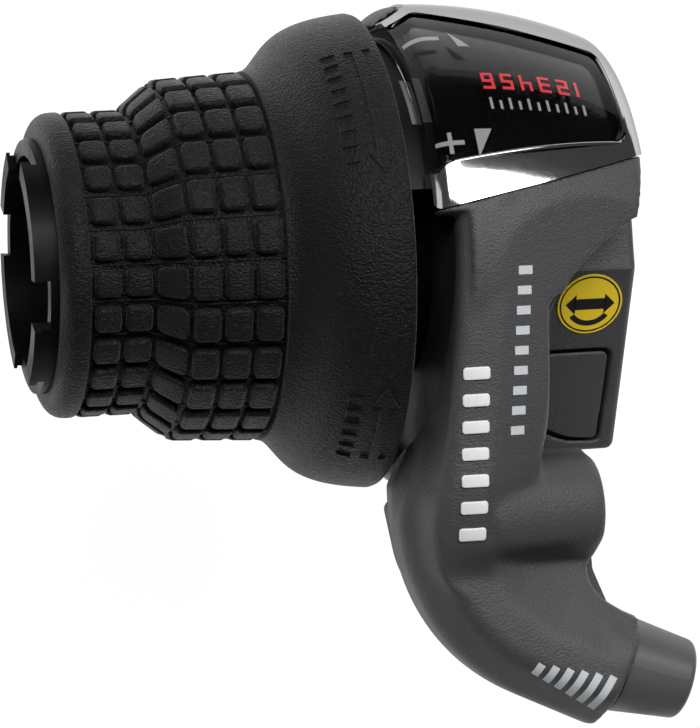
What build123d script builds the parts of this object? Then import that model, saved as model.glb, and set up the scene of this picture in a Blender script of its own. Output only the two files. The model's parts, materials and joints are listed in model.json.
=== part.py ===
from build123d import *
import math
import os

os.makedirs("parts", exist_ok=True)

# Twist grip shifter for the right-hand end of a handlebar, in mm.
# +X runs along the bar towards its middle, +Y towards the rider, +Z up.
# The origin is on the bar axis at the middle of the clamp band.

# Handlebar and clearances
BAR_D = 22.2
RUN_CLEAR = 0.1
SEAT_CLEAR = 0.05
JOINT_CLEAR = 0.3

# Clamp
CLAMP_W = 7.0
BAND_T = 1.2
CLAMP_RING_R = BAR_D / 2 + 2.9
CLAMP_X0 = -6.5
CLAMP_X1 = 4.6
LUG_TILT = 31.0
LUG_REACH = 6.3
LUG_LEN = BAR_D / 2 + LUG_REACH
LUG_BACK = 8.0
LUG_SLOT = 4.2
EAR_GAP = 1.6
EAR_END = 3.3
BOLT_R = 2.0
BOLT_HEAD_R = 3.5
BOLT_HEAD_H = 4.0
BOLT_OUT = 3.8
BOLT_Y = -(BAR_D / 2 + BOLT_OUT)
NUT_AF = 7.0
NUT_H = 3.2
COVER_T = 1.4
COVER_GAP = 0.3

# Grip
CORE_BORE_R = BAR_D / 2 + RUN_CLEAR
CORE_WALL = 1.6
CORE_R = CORE_BORE_R + CORE_WALL
CORE_RIM_X = -54.9
CORE_END_X = -5.1
TAB_LIP = 0.35
LONG_TAB_X = -56.5
SHORT_TAB_X = -55.6
TABS = ((-8.5, 50.0, LONG_TAB_X), (-65.0, -31.0, LONG_TAB_X),
        (171.5, 230.0, SHORT_TAB_X), (115.0, 149.0, SHORT_TAB_X))
GRIP_END_X = -54.0
SLEEVE_T = 2.55
GRIP_R1 = CORE_R + SEAT_CLEAR + SLEEVE_T
GRIP_R2 = 18.3
GRIP_R3 = 18.8
CONE_X0 = -45.2
CONE_X1 = -41.6
TREAD_DEPTH = 0.8
TREAD_ROWS = 26
TREAD_PHASE = -2.6
TREAD_SLOT = 1.0
TREAD_RINGS = (-51.08, -48.05, -44.95, -41.85, -38.75, -35.65, -32.58)
TREAD_RING_W = 0.46

# Drum and detent, from the core outwards
DRUM_X0 = -14.9
DRUM_X1 = -8.8
GROOVE_R = CORE_R + 1.2
GROOVE_W = 2.0
RATCHET_H = 4.2
RATCHET_R = CORE_R + RATCHET_H
DRUM_R = RATCHET_R + 0.6
CLICKS = 5
CLICK_DEG = 14.0
KEY_W = 2.6
KEY_H = 1.2
KEY_COUNT = 3
CLIP_T = 0.8
CLIP_X0 = -6.5
CLIP_R = CORE_R + 0.8
CLIP_GROOVE_R = CORE_R - 0.75
SPRING_PHI = 205.0
LEAF_T = 0.5
LEAF_GAP = 2.4
LEAF_LIFT = 2.2
LEAF_R = RATCHET_R + LEAF_GAP
LEAF_X0 = -11.4
LEAF_X1 = -9.1
LEAF_PHI0 = 148.0
SCREW_PHI = LEAF_PHI0 + 6.0
DISC_T = 1.2

# Housing barrel, window dome and indicator ring
HOUSING_WALL = 2.7
CAVITY_R = LEAF_R + LEAF_T + LEAF_LIFT
DOME_R = CAVITY_R + HOUSING_WALL
DOME_X = -16.0
DOME_CROWN = 50.0
DOME_ROLL = 3.4
DOME_END_X = 4.3
DOME_EDGE = 2.4
COLLAR_X = -18.9
SPINE_X = -16.4
WALL_X0 = -8.3
WALL_X1 = -6.6
RIM_STEP_X = -7.3
EXT_R = CLAMP_RING_R + 1.9
LENS_T = 1.2
PLATE_T = 0.6
BEZEL_PROUD = 0.25
BEZEL_T = 2.0
BEZEL_LIP_R = DOME_R - 7.2
STRIP_X = -16.9
RING_R = DOME_R - DOME_ROLL - 0.4
RING_T = 1.2
RING_X0 = -20.7
RING_X1 = -16.8
RING_PHI = (14.0, 138.0)

# Grip flange and the bell inside it
RIM_X = -20.9
RIM_R = DOME_R - 0.5
BELL_R = RING_R - 1.1
BELL_WALL = 1.9
BELL_X0 = -34.5
BELL_X1 = -25.5
FLANGE_CLEAR_R = RIM_R + 0.6

# Arm and outlet
ARM_BASE = 5.2
ARM_FLOOR = 3.2
FACET_FALL = 0.279
FACET_RISE = 0.145
BEND_R = 14.0
BEND_X = -15.3
BEND_Y = -27.7
BEND_W = 12.0
BEND_TOP = 17.3
BEND_LEAD = 12.0
LEAD_IN = 1.8
MOUTH_TURN = 64.0
MOUTH_RUN = 8.7
OUTLET_Z = 11.35
OUTLET_DEG = 18.0
OUTLET = (0.7, -43.2)
OUTLET_RUN = 9.0
SOCKET_R0 = 4.95
SOCKET_R1 = 4.05
SOCKET_L = 7.3
SOCKET_SEAT_R = 4.6
SOCKET_SEAT_L = 5.0
CASING_R = 2.6
CASING_DEPTH = 8.0
CABLE_R = 1.1
BULGE_Y = -27.2
BULGE_Z = 12.0
BULGE_R = 5.4
BULGE_X1 = -0.9
BULGE_L = 13.0


def polar(r, phi):
    """(y, z) at radius r and angle phi, measured from +Z towards +Y."""
    a = math.radians(phi)
    return (r * math.sin(a), r * math.cos(a))


def rod(r, x0, x1, y=0.0, z=0.0):
    """Solid cylinder along X."""
    base = Cylinder(r, x1 - x0, align=(Align.CENTER, Align.CENTER, Align.MIN))
    return Pos(x0, y, z) * Rot(0, 90, 0) * base


def tube(r_in, r_out, x0, x1):
    """Ring about the bar axis."""
    return rod(r_out, x0, x1) - rod(r_in, x0 - 1, x1 + 1)


def turned(*edges):
    """Solid of revolution about the bar axis from edges drawn in (x, r)."""
    return revolve(Plane.XZ * make_face(edges), axis=Axis.X)


def turned_poly(points):
    return turned(*Polyline(*points, close=True).edges())


def sector(phi0, phi1, r, x0, x1):
    """Wedge about the bar axis between two angles, out to at least radius r."""
    n = max(1, math.ceil((phi1 - phi0) / 40))
    step = (phi1 - phi0) / n
    far = r / math.cos(math.radians(step / 2)) + 1
    points = [(0, 0)] + [polar(far, phi0 + i * step) for i in range(n + 1)]
    return extrude(Plane.YZ.offset(x0) * make_face(Polyline(*points, close=True)), x1 - x0)


def prism(points, radii, z0, z1):
    """Rounded outline in plan, carried from z0 to z1."""
    outline = make_face(FilletPolyline(*points, radius=radii, close=True))
    return Pos(0, 0, z0) * extrude(outline, z1 - z0)


def dome_radius(x, off=0.0):
    """Crowned inboard of its highest point, rolled over on the grip side."""
    r = DOME_CROWN if x > DOME_X else DOME_ROLL
    return DOME_R - r + math.sqrt(max((r + off) ** 2 - (x - DOME_X) ** 2, 0))


def dome_arc(x0, x1, off):
    """Profile of the dome between two places on the same arc."""
    mid = (x0 + x1) / 2
    return ThreePointArc((x0, dome_radius(x0, off)), (mid, dome_radius(mid, off)), (x1, dome_radius(x1, off)))


def dome(off=0.0, x0=COLLAR_X, x1=None):
    """Barrel with the dome profile; the inboard edge is rounded unless x1 cuts it short."""
    end = DOME_END_X + off if x1 is None else x1
    foot = max(x0, DOME_X - DOME_ROLL - off)
    base = dome_radius(foot, off)
    edges = [
        dome_arc(foot, DOME_X, off),
        dome_arc(DOME_X, end, off),
        Line((end, dome_radius(end, off)), (end, 0)),
        Line((end, 0), (x0, 0)),
        Line((x0, 0), (x0, base))]
    if foot > x0:
        edges.append(Line((x0, base), (foot, base)))
    face = make_face(edges)
    edge = DOME_EDGE + off
    if x1 is None and edge > 0.2:
        corner = face.vertices().sort_by(Axis.X)[-2:].sort_by(Axis.Y)[-1]
        face = fillet(corner, edge)
    return revolve(Plane.XZ * face, axis=Axis.X)


def tread_radius(x):
    if x < CONE_X0:
        return GRIP_R1
    if x < CONE_X1:
        return GRIP_R1 + (GRIP_R2 - GRIP_R1) * (x - CONE_X0) / (CONE_X1 - CONE_X0)
    return GRIP_R2 + (GRIP_R3 - GRIP_R2) * (x - CONE_X1) / (TREAD_RINGS[-1] - CONE_X1)


# Grip side, everything that turns with the rider's hand

def grip_core():
    clip_x1 = CLIP_X0 + CLIP_T + SEAT_CLEAR
    clip_x0 = CLIP_X0 - SEAT_CLEAR
    inner = BELL_R - BELL_WALL
    body = turned_poly([
        (CORE_RIM_X, CORE_BORE_R), (CORE_RIM_X, CORE_R), (BELL_X0, CORE_R), (BELL_X1, BELL_R),
        (RIM_X, BELL_R), (RIM_X, inner), (BELL_X1 + 0.9, inner), (BELL_X0 + 3.1, CORE_R), (clip_x0, CORE_R),
        (clip_x0, CLIP_GROOVE_R), (clip_x1, CLIP_GROOVE_R), (clip_x1, CORE_R), (CORE_END_X, CORE_R),
        (CORE_END_X, CORE_BORE_R)])
    for phi0, phi1, tip in TABS:
        wall = tube(CORE_BORE_R, CORE_R, tip, CORE_RIM_X)
        lip = tube(CORE_BORE_R, CORE_R + TAB_LIP, tip, (tip + CORE_RIM_X) / 2)
        body += (wall + lip) & sector(phi0, phi1, CORE_R + 1, tip - 1, CORE_RIM_X + 0.5)
    for i in range(KEY_COUNT):
        key = Box(DRUM_X1 - DRUM_X0, KEY_W, KEY_H + 0.3, align=(Align.MIN, Align.CENTER, Align.MIN))
        body += Rot(360 / KEY_COUNT * i, 0, 0) * Pos(DRUM_X0, 0, CORE_R - 0.3) * key
    return body


def grip_rubber():
    bore = CORE_R + SEAT_CLEAR
    seat = BELL_R + SEAT_CLEAR
    last = TREAD_RINGS[-1] + TREAD_RING_W / 2
    body = turned(
        Line((GRIP_END_X, bore), (GRIP_END_X, bore + 0.6)),
        RadiusArc((GRIP_END_X, bore + 0.6), (GRIP_END_X + 1.9, GRIP_R1), 2.1),
        Polyline((GRIP_END_X + 1.9, GRIP_R1), (CONE_X0, GRIP_R1), (CONE_X1, GRIP_R2), (last, GRIP_R3)),
        Spline((last, GRIP_R3), (-30.3, RIM_R - 4.4), (-28.6, RIM_R - 2.2), (-26.6, RIM_R - 1.1),
               (RIM_X - 0.6, RIM_R), tangents=((1, 0.1), (1, 0.1))),
        RadiusArc((RIM_X - 0.6, RIM_R), (RIM_X, RIM_R - 0.6), 0.65),
        Polyline((RIM_X, RIM_R - 0.6), (RIM_X, seat), (BELL_X1, seat), (BELL_X0, bore), (GRIP_END_X, bore)))
    tools = []
    for x in TREAD_RINGS:
        x0, x1 = x - TREAD_RING_W / 2, x + TREAD_RING_W / 2
        tools.append(turned_poly([
            (x0, tread_radius(x0) - TREAD_DEPTH), (x0, RIM_R), (x1, RIM_R), (x1, tread_radius(x1) - TREAD_DEPTH)]))
    x0, x1 = TREAD_RINGS[0], TREAD_RINGS[-1]
    slot = extrude(Plane.XZ * make_face(Polyline(
        (x0, GRIP_R1 - TREAD_DEPTH), (CONE_X0, GRIP_R1 - TREAD_DEPTH), (CONE_X1, GRIP_R2 - TREAD_DEPTH),
        (x1, GRIP_R3 - TREAD_DEPTH), (x1, RIM_R), (x0, RIM_R), close=True)), TREAD_SLOT / 2, both=True)
    for i in range(TREAD_ROWS):
        tools.append(Rot(-TREAD_PHASE + 360 / TREAD_ROWS * i, 0, 0) * slot)
    return body - tools


def indicator_ring():
    """Hub pressed into the bell, carrying the part of a rim that passes under the window."""
    hub_r = BELL_R - BELL_WALL - SEAT_CLEAR
    hub = tube(hub_r - 1.6, hub_r, RIM_X - 2.8, RIM_X)
    web = tube(hub_r - 1.6, RING_R, RIM_X, RING_X0 + 0.8)
    rim = tube(RING_R - RING_T, RING_R, RING_X0, RING_X1)
    span = sector(RING_PHI[0], RING_PHI[1], RING_R + 1, RIM_X - 1, RING_X1 + 1)
    return hub + ((web + rim) & span)


def cable_drum():
    bore = CORE_R + SEAT_CLEAR
    g0 = DRUM_X0 + 1.2
    g1 = g0 + GROOVE_W
    body = turned(
        Polyline((DRUM_X0, bore), (DRUM_X0, DRUM_R), (g0, DRUM_R), (g0, GROOVE_R + GROOVE_W / 2)),
        RadiusArc((g0, GROOVE_R + GROOVE_W / 2), (g1, GROOVE_R + GROOVE_W / 2), -GROOVE_W / 2),
        Polyline((g1, GROOVE_R + GROOVE_W / 2), (g1, RATCHET_R), (DRUM_X1, RATCHET_R), (DRUM_X1, bore),
                 (DRUM_X0, bore)))
    tools = []
    for i in range(KEY_COUNT):
        way = Box(20, KEY_W + 2 * SEAT_CLEAR, KEY_H + 0.5 + SEAT_CLEAR,
                  align=(Align.CENTER, Align.CENTER, Align.MIN))
        tools.append(Rot(360 / KEY_COUNT * i, 0, 0) * Pos(DRUM_X0, 0, CORE_R - 0.5) * way)
    for i in range(CLICKS + 1):
        y, z = polar(RATCHET_R + 0.25, SPRING_PHI + i * CLICK_DEG)
        tools.append(rod(1.0, g1 + 0.6, DRUM_X1 + 1, y, z))
    y, z = polar(GROOVE_R + 0.9, 62)
    tools.append(rod(2.0, g0 - 0.4, g1 + 1.4, y, z))
    return body - tools


def retaining_ring():
    ring = tube(CLIP_GROOVE_R + SEAT_CLEAR, CLIP_R, CLIP_X0, CLIP_X0 + CLIP_T)
    return ring - sector(195, 225, CLIP_R + 1, CLIP_X0 - 1, CLIP_X0 + 2)


# Index spring, a leaf whose nose drops into the drum's notches

def index_spring():
    band = tube(LEAF_R, LEAF_R + LEAF_T, LEAF_X0, LEAF_X1)
    leaf = band & sector(LEAF_PHI0, SPRING_PHI + 3, LEAF_R + 2, LEAF_X0 - 1, LEAF_X1 + 1)
    y, z = polar(RATCHET_R + 0.45, SPRING_PHI)
    nose = rod(0.85, LEAF_X0 + 0.4, LEAF_X1 - 0.3, y, z)
    shank = Box(LEAF_X1 - LEAF_X0 - 0.7, 1.0, LEAF_R - RATCHET_R + 0.1,
                align=(Align.MIN, Align.CENTER, Align.MIN))
    shank = Rot(-SPRING_PHI, 0, 0) * Pos(LEAF_X0 + 0.4, 0, RATCHET_R) * shank
    shank = shank & (rod(LEAF_R + 0.2, LEAF_X0, LEAF_X1) - rod(RATCHET_R + 0.3, LEAF_X0 - 1, LEAF_X1 + 1))
    hole = Rot(-SCREW_PHI, 0, 0) * Pos((LEAF_X0 + LEAF_X1) / 2, 0, LEAF_R) * Cylinder(0.85, 6)
    return leaf + nose + shank - hole


def spring_screw():
    x = (LEAF_X0 + LEAF_X1) / 2
    head = Cylinder(1.5, 0.9, align=(Align.CENTER, Align.CENTER, Align.MAX))
    shank = Cylinder(0.8, 3.6, align=(Align.CENTER, Align.CENTER, Align.MIN))
    slot = Pos(0, 0, -0.9) * Box(4, 0.4, 0.8)
    screw = Pos(0, 0, LEAF_R - SEAT_CLEAR) * (head + Pos(0, 0, -0.1) * shank - slot)
    return Rot(-SCREW_PHI, 0, 0) * Pos(x, 0, 0) * screw


def drum_cover():
    """Disc that closes the drum's room on the grip side."""
    x1 = DRUM_X0 - JOINT_CLEAR
    return tube(CORE_R + JOINT_CLEAR, CAVITY_R - SEAT_CLEAR, x1 - DISC_T, x1)


def thrust_washer():
    return tube(CORE_R + JOINT_CLEAR, DRUM_R - 1, DRUM_X1 + 0.1, WALL_X0 - SEAT_CLEAR)


# Window: outlines in plan, cut out of the dome's shells

LENS_OUTLINE = [(-18.6, DOME_R - 2.7), (-15.9, DOME_R - 1.3), (-7.4, DOME_R - 3.4), (2.3, DOME_R - 6.4), (2.7, 8.8),
                (-16.8, 7.5), (-18.6, 6.2)]
LENS_ROUND = [0.2, 1.8, 25.0, 1.2, 1.6, 2.0, 0.2]
BEZEL_OUTLINE = [(-18.8, 2.8), (-5.8, 5.4), (7.0, 8.2), (7.0, DOME_R + 3.2), (-15.2, DOME_R + 3.2),
                 (-15.6, DOME_R - 0.2), (-18.8, DOME_R - 2.1)]
BEZEL_ROUND = [0.6, 30.0, 0.2, 0.2, 0.2, 0.4, 0.2]
BEZEL_BACK_Z = -4.4


def grown(points, by):
    """The outline moved outwards by a clearance, away from its own middle."""
    cx = sum(p[0] for p in points) / len(points)
    cy = sum(p[1] for p in points) / len(points)
    return [(x + by * math.copysign(1, x - cx), y + by * math.copysign(1, y - cy)) for x, y in points]


def lens_prism(by=0.0):
    return prism(grown(LENS_OUTLINE, by), LENS_ROUND, 0.5, 40)


def bezel_prism(by=0.0):
    return prism(grown(BEZEL_OUTLINE, by), BEZEL_ROUND, BEZEL_BACK_Z - by, 40)


def bezel():
    shell = dome(BEZEL_PROUD, COLLAR_X) - dome(-BEZEL_T, COLLAR_X - 1)
    opening = lens_prism(SEAT_CLEAR) + prism(
        [(-24, 6.2), (-18, 6.4), (-18, DOME_R - 2.7), (-24, DOME_R - 2.9)], 0.1, 0.5, 40)
    return (shell & bezel_prism()) - opening - rod(BEZEL_LIP_R, -30, 30)


def window_lens():
    shell = dome(-SEAT_CLEAR, COLLAR_X) - dome(-LENS_T - SEAT_CLEAR, COLLAR_X - 1)
    return shell & lens_prism()


def display_plate():
    low = -LENS_T - 2 * SEAT_CLEAR
    shell = dome(low, COLLAR_X) - dome(low - PLATE_T, COLLAR_X - 1)
    keep = Box(40, 60, 60, align=(Align.MIN, Align.CENTER, Align.CENTER))
    return shell & lens_prism(-0.3) & (Pos(STRIP_X, 0, 0) * keep)


# Housing

def facet_z(x, y):
    """Height of the inboard front facet."""
    return DOME_R - 3.36 - FACET_FALL * x + FACET_RISE * y


def arm_section(cx, cy, turn, points, radii):
    """Closed section across the arm; points are (across, height), turn swings it from -Y towards +X."""
    a = math.radians(turn)
    plane = Plane(origin=(cx, cy, 0), x_dir=(math.cos(a), math.sin(a), 0), z_dir=(math.sin(a), -math.cos(a), 0))
    return plane * make_face(FilletPolyline(*points, radius=radii, close=True))


def bend_at(turn):
    """Point on the elbow's middle line after a turn from -Y towards +X."""
    a = math.radians(turn)
    return (BEND_X + BEND_R - BEND_R * math.cos(a), BEND_Y - BEND_R * math.sin(a))


def bend_section(cx, cy, turn, w):
    """Round-shouldered section of the elbow, w to either side of its middle."""
    b, top = ARM_BASE, BEND_TOP
    points = [(-w + 1.2, b), (-w + 0.2, b + 3.6), (-w, top - 4.3), (-0.5 * w, top), (0.5 * w, top), (w, top - 4.3),
              (w, b + 3.8), (w - 1.0, b)]
    return arm_section(cx, cy, turn, points, [1.0, 2.0, 2.4, 2.2, 2.2, 2.4, 2.0, 1.0])


def elbow():
    """Tube that swells out of the spine and turns to the outlet."""
    w = BEND_W / 2
    axis = Axis((BEND_X + BEND_R, BEND_Y, 0), (0, 0, 1))
    lead = bend_section(BEND_X + LEAD_IN, BEND_Y + BEND_LEAD, 0, w - LEAD_IN)
    start = bend_section(BEND_X, BEND_Y, 0, w)
    end = bend_section(*bend_at(MOUTH_TURN), MOUTH_TURN, w)
    bend = revolve(start, axis=axis, revolution_arc=MOUTH_TURN)
    return loft([lead, start]) + bend + extrude(end, MOUTH_RUN)


def arm():
    """Spine, running out into the elbow: left foot, shelf, valley, left facet, ridge, right facet, wall, foot."""
    b, top = ARM_BASE, DOME_R
    tight = [0.6, 1.0, 1.0, 1.5, 0.9, 1.2, 1.0, 0.6]
    soft = [1.0, 1.4, 1.2, 1.6, 1.1, 2.0, 1.4, 0.8]
    sections = [
        arm_section(0, 5, 0, [
            (-16.5, b), (-16.8, 9.5), (-16.7, 14), (-16.3, top - 0.7), (-12.0, top - 0.3), (-6.9, top - 1.2), (-6.75, 14),
            (-6.9, b)], tight),
        arm_section(0, -6, 0, [
            (-16.8, b), (-17.1, 9.5), (-17.0, 14), (-16.8, top - 1.2), (-12.5, facet_z(-12.5, -6)),
            (-6.9, facet_z(-6.9, -6)), (-6.75, 14), (-6.9, b)], tight),
        arm_section(0, -15, 0, [
            (-17.4, b), (-17.8, 9.5), (-17.7, 13.6), (-17.6, top - 2.6), (-13.2, facet_z(-13.2, -15)),
            (-7.1, facet_z(-7.1, -15)), (-6.9, 13.4), (-7.1, b)], tight),
        arm_section(0, -24, 0, [
            (-20.6, b), (-20.9, 9.3), (-19.6, 12.4), (-18.7, top - 3.9), (-14.4, facet_z(-14.4, -24)),
            (-8.4, 19.0), (-8.0, 12), (-8.4, b)], soft),
        arm_section(*bend_at(12), 12, [
            (-4.8, b + 0.3), (-5.3, 9.3), (-4.9, 12.9), (-4.0, 18.6), (0.6, 20.0), (4.4, 16.9), (5.0, 11),
            (4.6, b + 0.3)], soft),
        arm_section(*bend_at(36), 36, [
            (-4.4, b + 0.3), (-5.0, 9), (-4.6, 13.0), (-2.6, 16.6), (1.6, 16.9), (4.2, 14.4), (5.0, 10.5),
            (4.4, b + 0.3)], soft)]
    return loft(sections[:4]) + loft(sections[3:]) + elbow()


def bulge():
    """Arched block beside the spine, its crown in line with the inboard facet."""
    r = BULGE_R
    low = ARM_BASE - BULGE_Z - FACET_FALL * BULGE_L - 1
    arch = make_face([
        Line((-r, low), (r, low)), Line((r, low), (r, 0)), ThreePointArc((r, 0), (0, r), (-r, 0)),
        Line((-r, 0), (-r, low))])
    end = Plane(origin=(BULGE_X1, BULGE_Y, BULGE_Z), x_dir=(0, 1, 0), z_dir=(1, 0, 0))
    block = extrude(end * arch, BULGE_L, dir=(-1, 0, FACET_FALL))
    block -= Pos(0, BULGE_Y, ARM_BASE) * Box(80, 40, 40, align=(Align.CENTER, Align.CENTER, Align.MAX))
    return fillet(block.faces().sort_by(Axis.X)[-1].edges(), 0.9)


def outlet_plane():
    a = math.radians(OUTLET_DEG)
    out = (math.cos(a), -math.sin(a), 0)
    return Plane(origin=(OUTLET[0], OUTLET[1], OUTLET_Z), x_dir=(0, 0, 1), z_dir=out)


ARM_POCKET = [(-15.0, -14.0), (-9.4, -14.0), (-9.6, -25.0), (-11.6, -30.5), (-8.5, -35.0), (-4.0, -39.6),
              (-5.6, -44.6), (-10.5, -42.0), (-14.6, -37.1), (-15.8, -32.0), (-15.9, -24.0)]
ARM_POCKET_TOP = 13.4
COVER_SCREWS = ((-17.4, -30.2), (-4.2, -27.2))
BODY_SCREW_PHI = (126.0, 232.0)
BODY_SCREW_R = CAVITY_R - 2.3
BODY_SCREW_HEAD_R = 2.1
BODY_EAR_T = 2.0


def end_boss(phi):
    y, z = polar(BODY_SCREW_R, phi)
    return rod(2.0, WALL_X0 - 3.2, WALL_X1, y, z)


def main_housing():
    # Barrel and the dome's overhang above the clamp
    barrel = dome(0, COLLAR_X, WALL_X1)
    barrel -= sector(-80, 6, 40, COLLAR_X - 1, SPINE_X + 1)
    barrel -= sector(0, 63, 40, COLLAR_X - 1, LENS_OUTLINE[0][0] + 0.2)
    over = (dome(0, WALL_X1 - 0.5) - rod(EXT_R, -30, 30)) & sector(-25, 110, 40, WALL_X1 - 0.5, 10)
    below = prism([(9, 3.2), (2.2, 1.2), (-1.7, -1.4), (-5.2, -4.7), (-6.4, -7.6), (WALL_X1, -9.5), (WALL_X1, -30),
                   (9, -30)], [0.1, 6.0, 8.0, 5.0, 3.0, 0.1, 0.1, 0.1], 0, 40)
    over -= below + prism([(4.4, 8.2), (2.3, -0.5), (9, -0.5), (9, 8.2)], 0.1, 0, 40)
    body = barrel + over + arm() + bulge()
    # Inboard front facet
    slope = Plane(
        origin=(0, 0, facet_z(0, 0)), x_dir=(1, 0, -FACET_FALL), z_dir=(FACET_FALL, -FACET_RISE, 1))
    above = slope * Box(60, 60, 30, align=(Align.CENTER, Align.CENTER, Align.MIN))
    body -= above & Box(60, 26, 120, align=(Align.CENTER, Align.MIN, Align.CENTER)).moved(Location((0, -19, 0)))
    # Step in the end wall's rim, which clears the label and the access cover
    step = prism([(RIM_STEP_X, -6.8), (WALL_X1 + 0.8, -5.4), (WALL_X1 + 0.8, -21.4), (RIM_STEP_X, -21.4)], 0.1, 0, 40)
    body -= step - rod(CAVITY_R - 1.0, -30, 30)
    # Room for the drum, the rings and the flange
    body -= rod(CAVITY_R, -40, WALL_X0)
    body -= rod(FLANGE_CLEAR_R, -40, RIM_X + JOINT_CLEAR)
    body -= rod(CORE_R + JOINT_CLEAR, -40, 0)
    # Window seat and the slot over the indicator ring
    seat = dome(2, COLLAR_X - 2) - dome(-BEZEL_T - SEAT_CLEAR, COLLAR_X - 3)
    body -= seat & (bezel_prism(SEAT_CLEAR) + lens_prism(SEAT_CLEAR))
    slot = prism([(-22, 6.9), (STRIP_X, 7.9), (STRIP_X, DOME_R - 2.4), (-22, DOME_R - 3.4)], 0.3, 0.5, 40)
    body -= slot & rod(DOME_R, -30, 10)
    # Cable room in the arm and the outlet seat
    body -= prism(ARM_POCKET, 1.0, ARM_BASE - 1, ARM_POCKET_TOP)
    body -= outlet_plane() * Pos(0, 0, -SOCKET_SEAT_L - 0.2) * Cylinder(
        SOCKET_SEAT_R + SEAT_CLEAR, 16, align=(Align.CENTER, Align.CENTER, Align.MIN))
    body -= outlet_plane() * Pos(0, 0, 0.2 - SEAT_CLEAR) * Cylinder(
        SOCKET_R0 + SEAT_CLEAR, 12, align=(Align.CENTER, Align.CENTER, Align.MIN))
    body -= outlet_plane() * Cylinder(CABLE_R + 0.6, OUTLET_RUN, align=(Align.CENTER, Align.CENTER, Align.MAX))
    # Spring boss and end wall bosses
    x = (LEAF_X0 + LEAF_X1) / 2
    boss = Rot(-SCREW_PHI, 0, 0) * Pos(x, 0, LEAF_R + LEAF_T + SEAT_CLEAR) * Cylinder(
        2.2, 4.6, align=(Align.CENTER, Align.CENTER, Align.MIN))
    hole = Rot(-SCREW_PHI, 0, 0) * Pos(x, 0, LEAF_R) * Cylinder(
        0.8 + SEAT_CLEAR, 3.7, align=(Align.CENTER, Align.CENTER, Align.MIN))
    body += boss & rod(DOME_R - 0.6, -20, -4)
    body -= hole
    for phi in BODY_SCREW_PHI:
        body += end_boss(phi)
        y, z = polar(BODY_SCREW_R, phi)
        body -= rod(1.1 + SEAT_CLEAR, WALL_X0 - 2.6, WALL_X1 + 1, y, z)
    for sx, sy in COVER_SCREWS:
        body -= Pos(sx, sy, ARM_BASE - 1) * Cylinder(
            0.95 + SEAT_CLEAR, 5.2, align=(Align.CENTER, Align.CENTER, Align.MIN))
    return body


REAR_OUTLINE = [(-20.6, -25.6), (-19.5, -32.2), (-15.9, -39.4), (-8.8, -45.4), (-2.3, -48.4), (2.9, -39.2),
                (0.9, -34.0), (0.7, -23.4), (-8.0, -25.4)]
REAR_ROUND = [1.0, 10.0, 9.0, 9.0, 0.8, 0.8, 2.0, 1.0, 1.0]


def rear_cover():
    plate = prism(REAR_OUTLINE, REAR_ROUND, ARM_FLOOR, ARM_BASE - SEAT_CLEAR)
    plate = chamfer(plate.faces().sort_by(Axis.Z)[0].edges(), 0.4)
    plate -= rod(FLANGE_CLEAR_R, -40, RIM_X + JOINT_CLEAR)
    plate -= rod(DOME_R + SEAT_CLEAR, RIM_X, CLAMP_X1)
    for sx, sy in COVER_SCREWS:
        plate -= Pos(sx, sy, 0) * Cylinder(1.1, 20)
        plate -= Pos(sx, sy, ARM_FLOOR + 1.0) * Cylinder(2.05, 4, align=(Align.CENTER, Align.CENTER, Align.MAX))
    return plate


def pan_screw(r_head, h_head, r_shank, l_shank):
    """Screw with a cross slot, head below the origin plane and shank above it."""
    head = Cylinder(r_head, h_head, align=(Align.CENTER, Align.CENTER, Align.MAX))
    head = chamfer(head.edges().sort_by(Axis.Z)[0], 0.25)
    shank = Pos(0, 0, -0.1) * Cylinder(r_shank, l_shank + 0.1, align=(Align.CENTER, Align.CENTER, Align.MIN))
    cross = Box(1.3 * r_head, 0.5, 1.2) + Box(0.5, 1.3 * r_head, 1.2)
    return head + shank - Pos(0, 0, -h_head) * cross


def rear_cover_screws():
    screws = [Pos(x, y, ARM_FLOOR + 1.0 - SEAT_CLEAR) * pan_screw(1.9, 0.9, 0.95, 5.0) for x, y in COVER_SCREWS]
    return Compound(children=screws)


def cable_guide():
    """Curved block that turns the cable from the drum into the outlet."""
    outer = [(-15.5, -27.0), (-15.4, -32.0), (-14.1, -36.7), (-10.6, -41.2), (-7.6, -42.7)]
    inner = [(-6.2, -38.9), (-9.2, -36.4), (-11.9, -32.0), (-12.3, -27.0)]
    block = prism(outer + inner, [0.4, 6.0, 6.0, 6.0, 0.4, 0.4, 4.0, 6.0, 0.4], ARM_BASE + 0.4, ARM_POCKET_TOP - 0.4)
    path = Spline((-13.4, -26.0, OUTLET_Z), (-13.6, -33.0, OUTLET_Z), (-6.0, -41.3, OUTLET_Z),
                  tangents=((0, -1, 0), (0.951, -0.309, 0)))
    groove = sweep(Plane(origin=path @ 0, z_dir=path % 0) * Circle(1.0), path=path)
    return block - groove


def casing_socket():
    body = Cone(SOCKET_R0, SOCKET_R1, SOCKET_L, align=(Align.CENTER, Align.CENTER, Align.MIN))
    body = fillet(body.edges().sort_by(Axis.Z)[-1], 0.7)
    body += Cylinder(SOCKET_SEAT_R, SOCKET_SEAT_L, align=(Align.CENTER, Align.CENTER, Align.MAX))
    body -= Pos(0, 0, SOCKET_L) * Cylinder(CASING_R, CASING_DEPTH, align=(Align.CENTER, Align.CENTER, Align.MAX))
    body -= Cylinder(CABLE_R, 60)
    return outlet_plane() * Pos(0, 0, 0.2) * body


# Clamp, built with its lug along -Y and then tilted about the bar

def tilted(shape):
    return Rot(LUG_TILT, 0, 0) * shape


COVER_OUTLINE = [(-3.8, -11.7), (2.7, -11.7), (2.5, -20.6), (-0.6, -20.4), (-3.5, -19.2)]
COVER_ROUND = [0.5, 0.8, 0.5, 6.0, 1.2]


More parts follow.
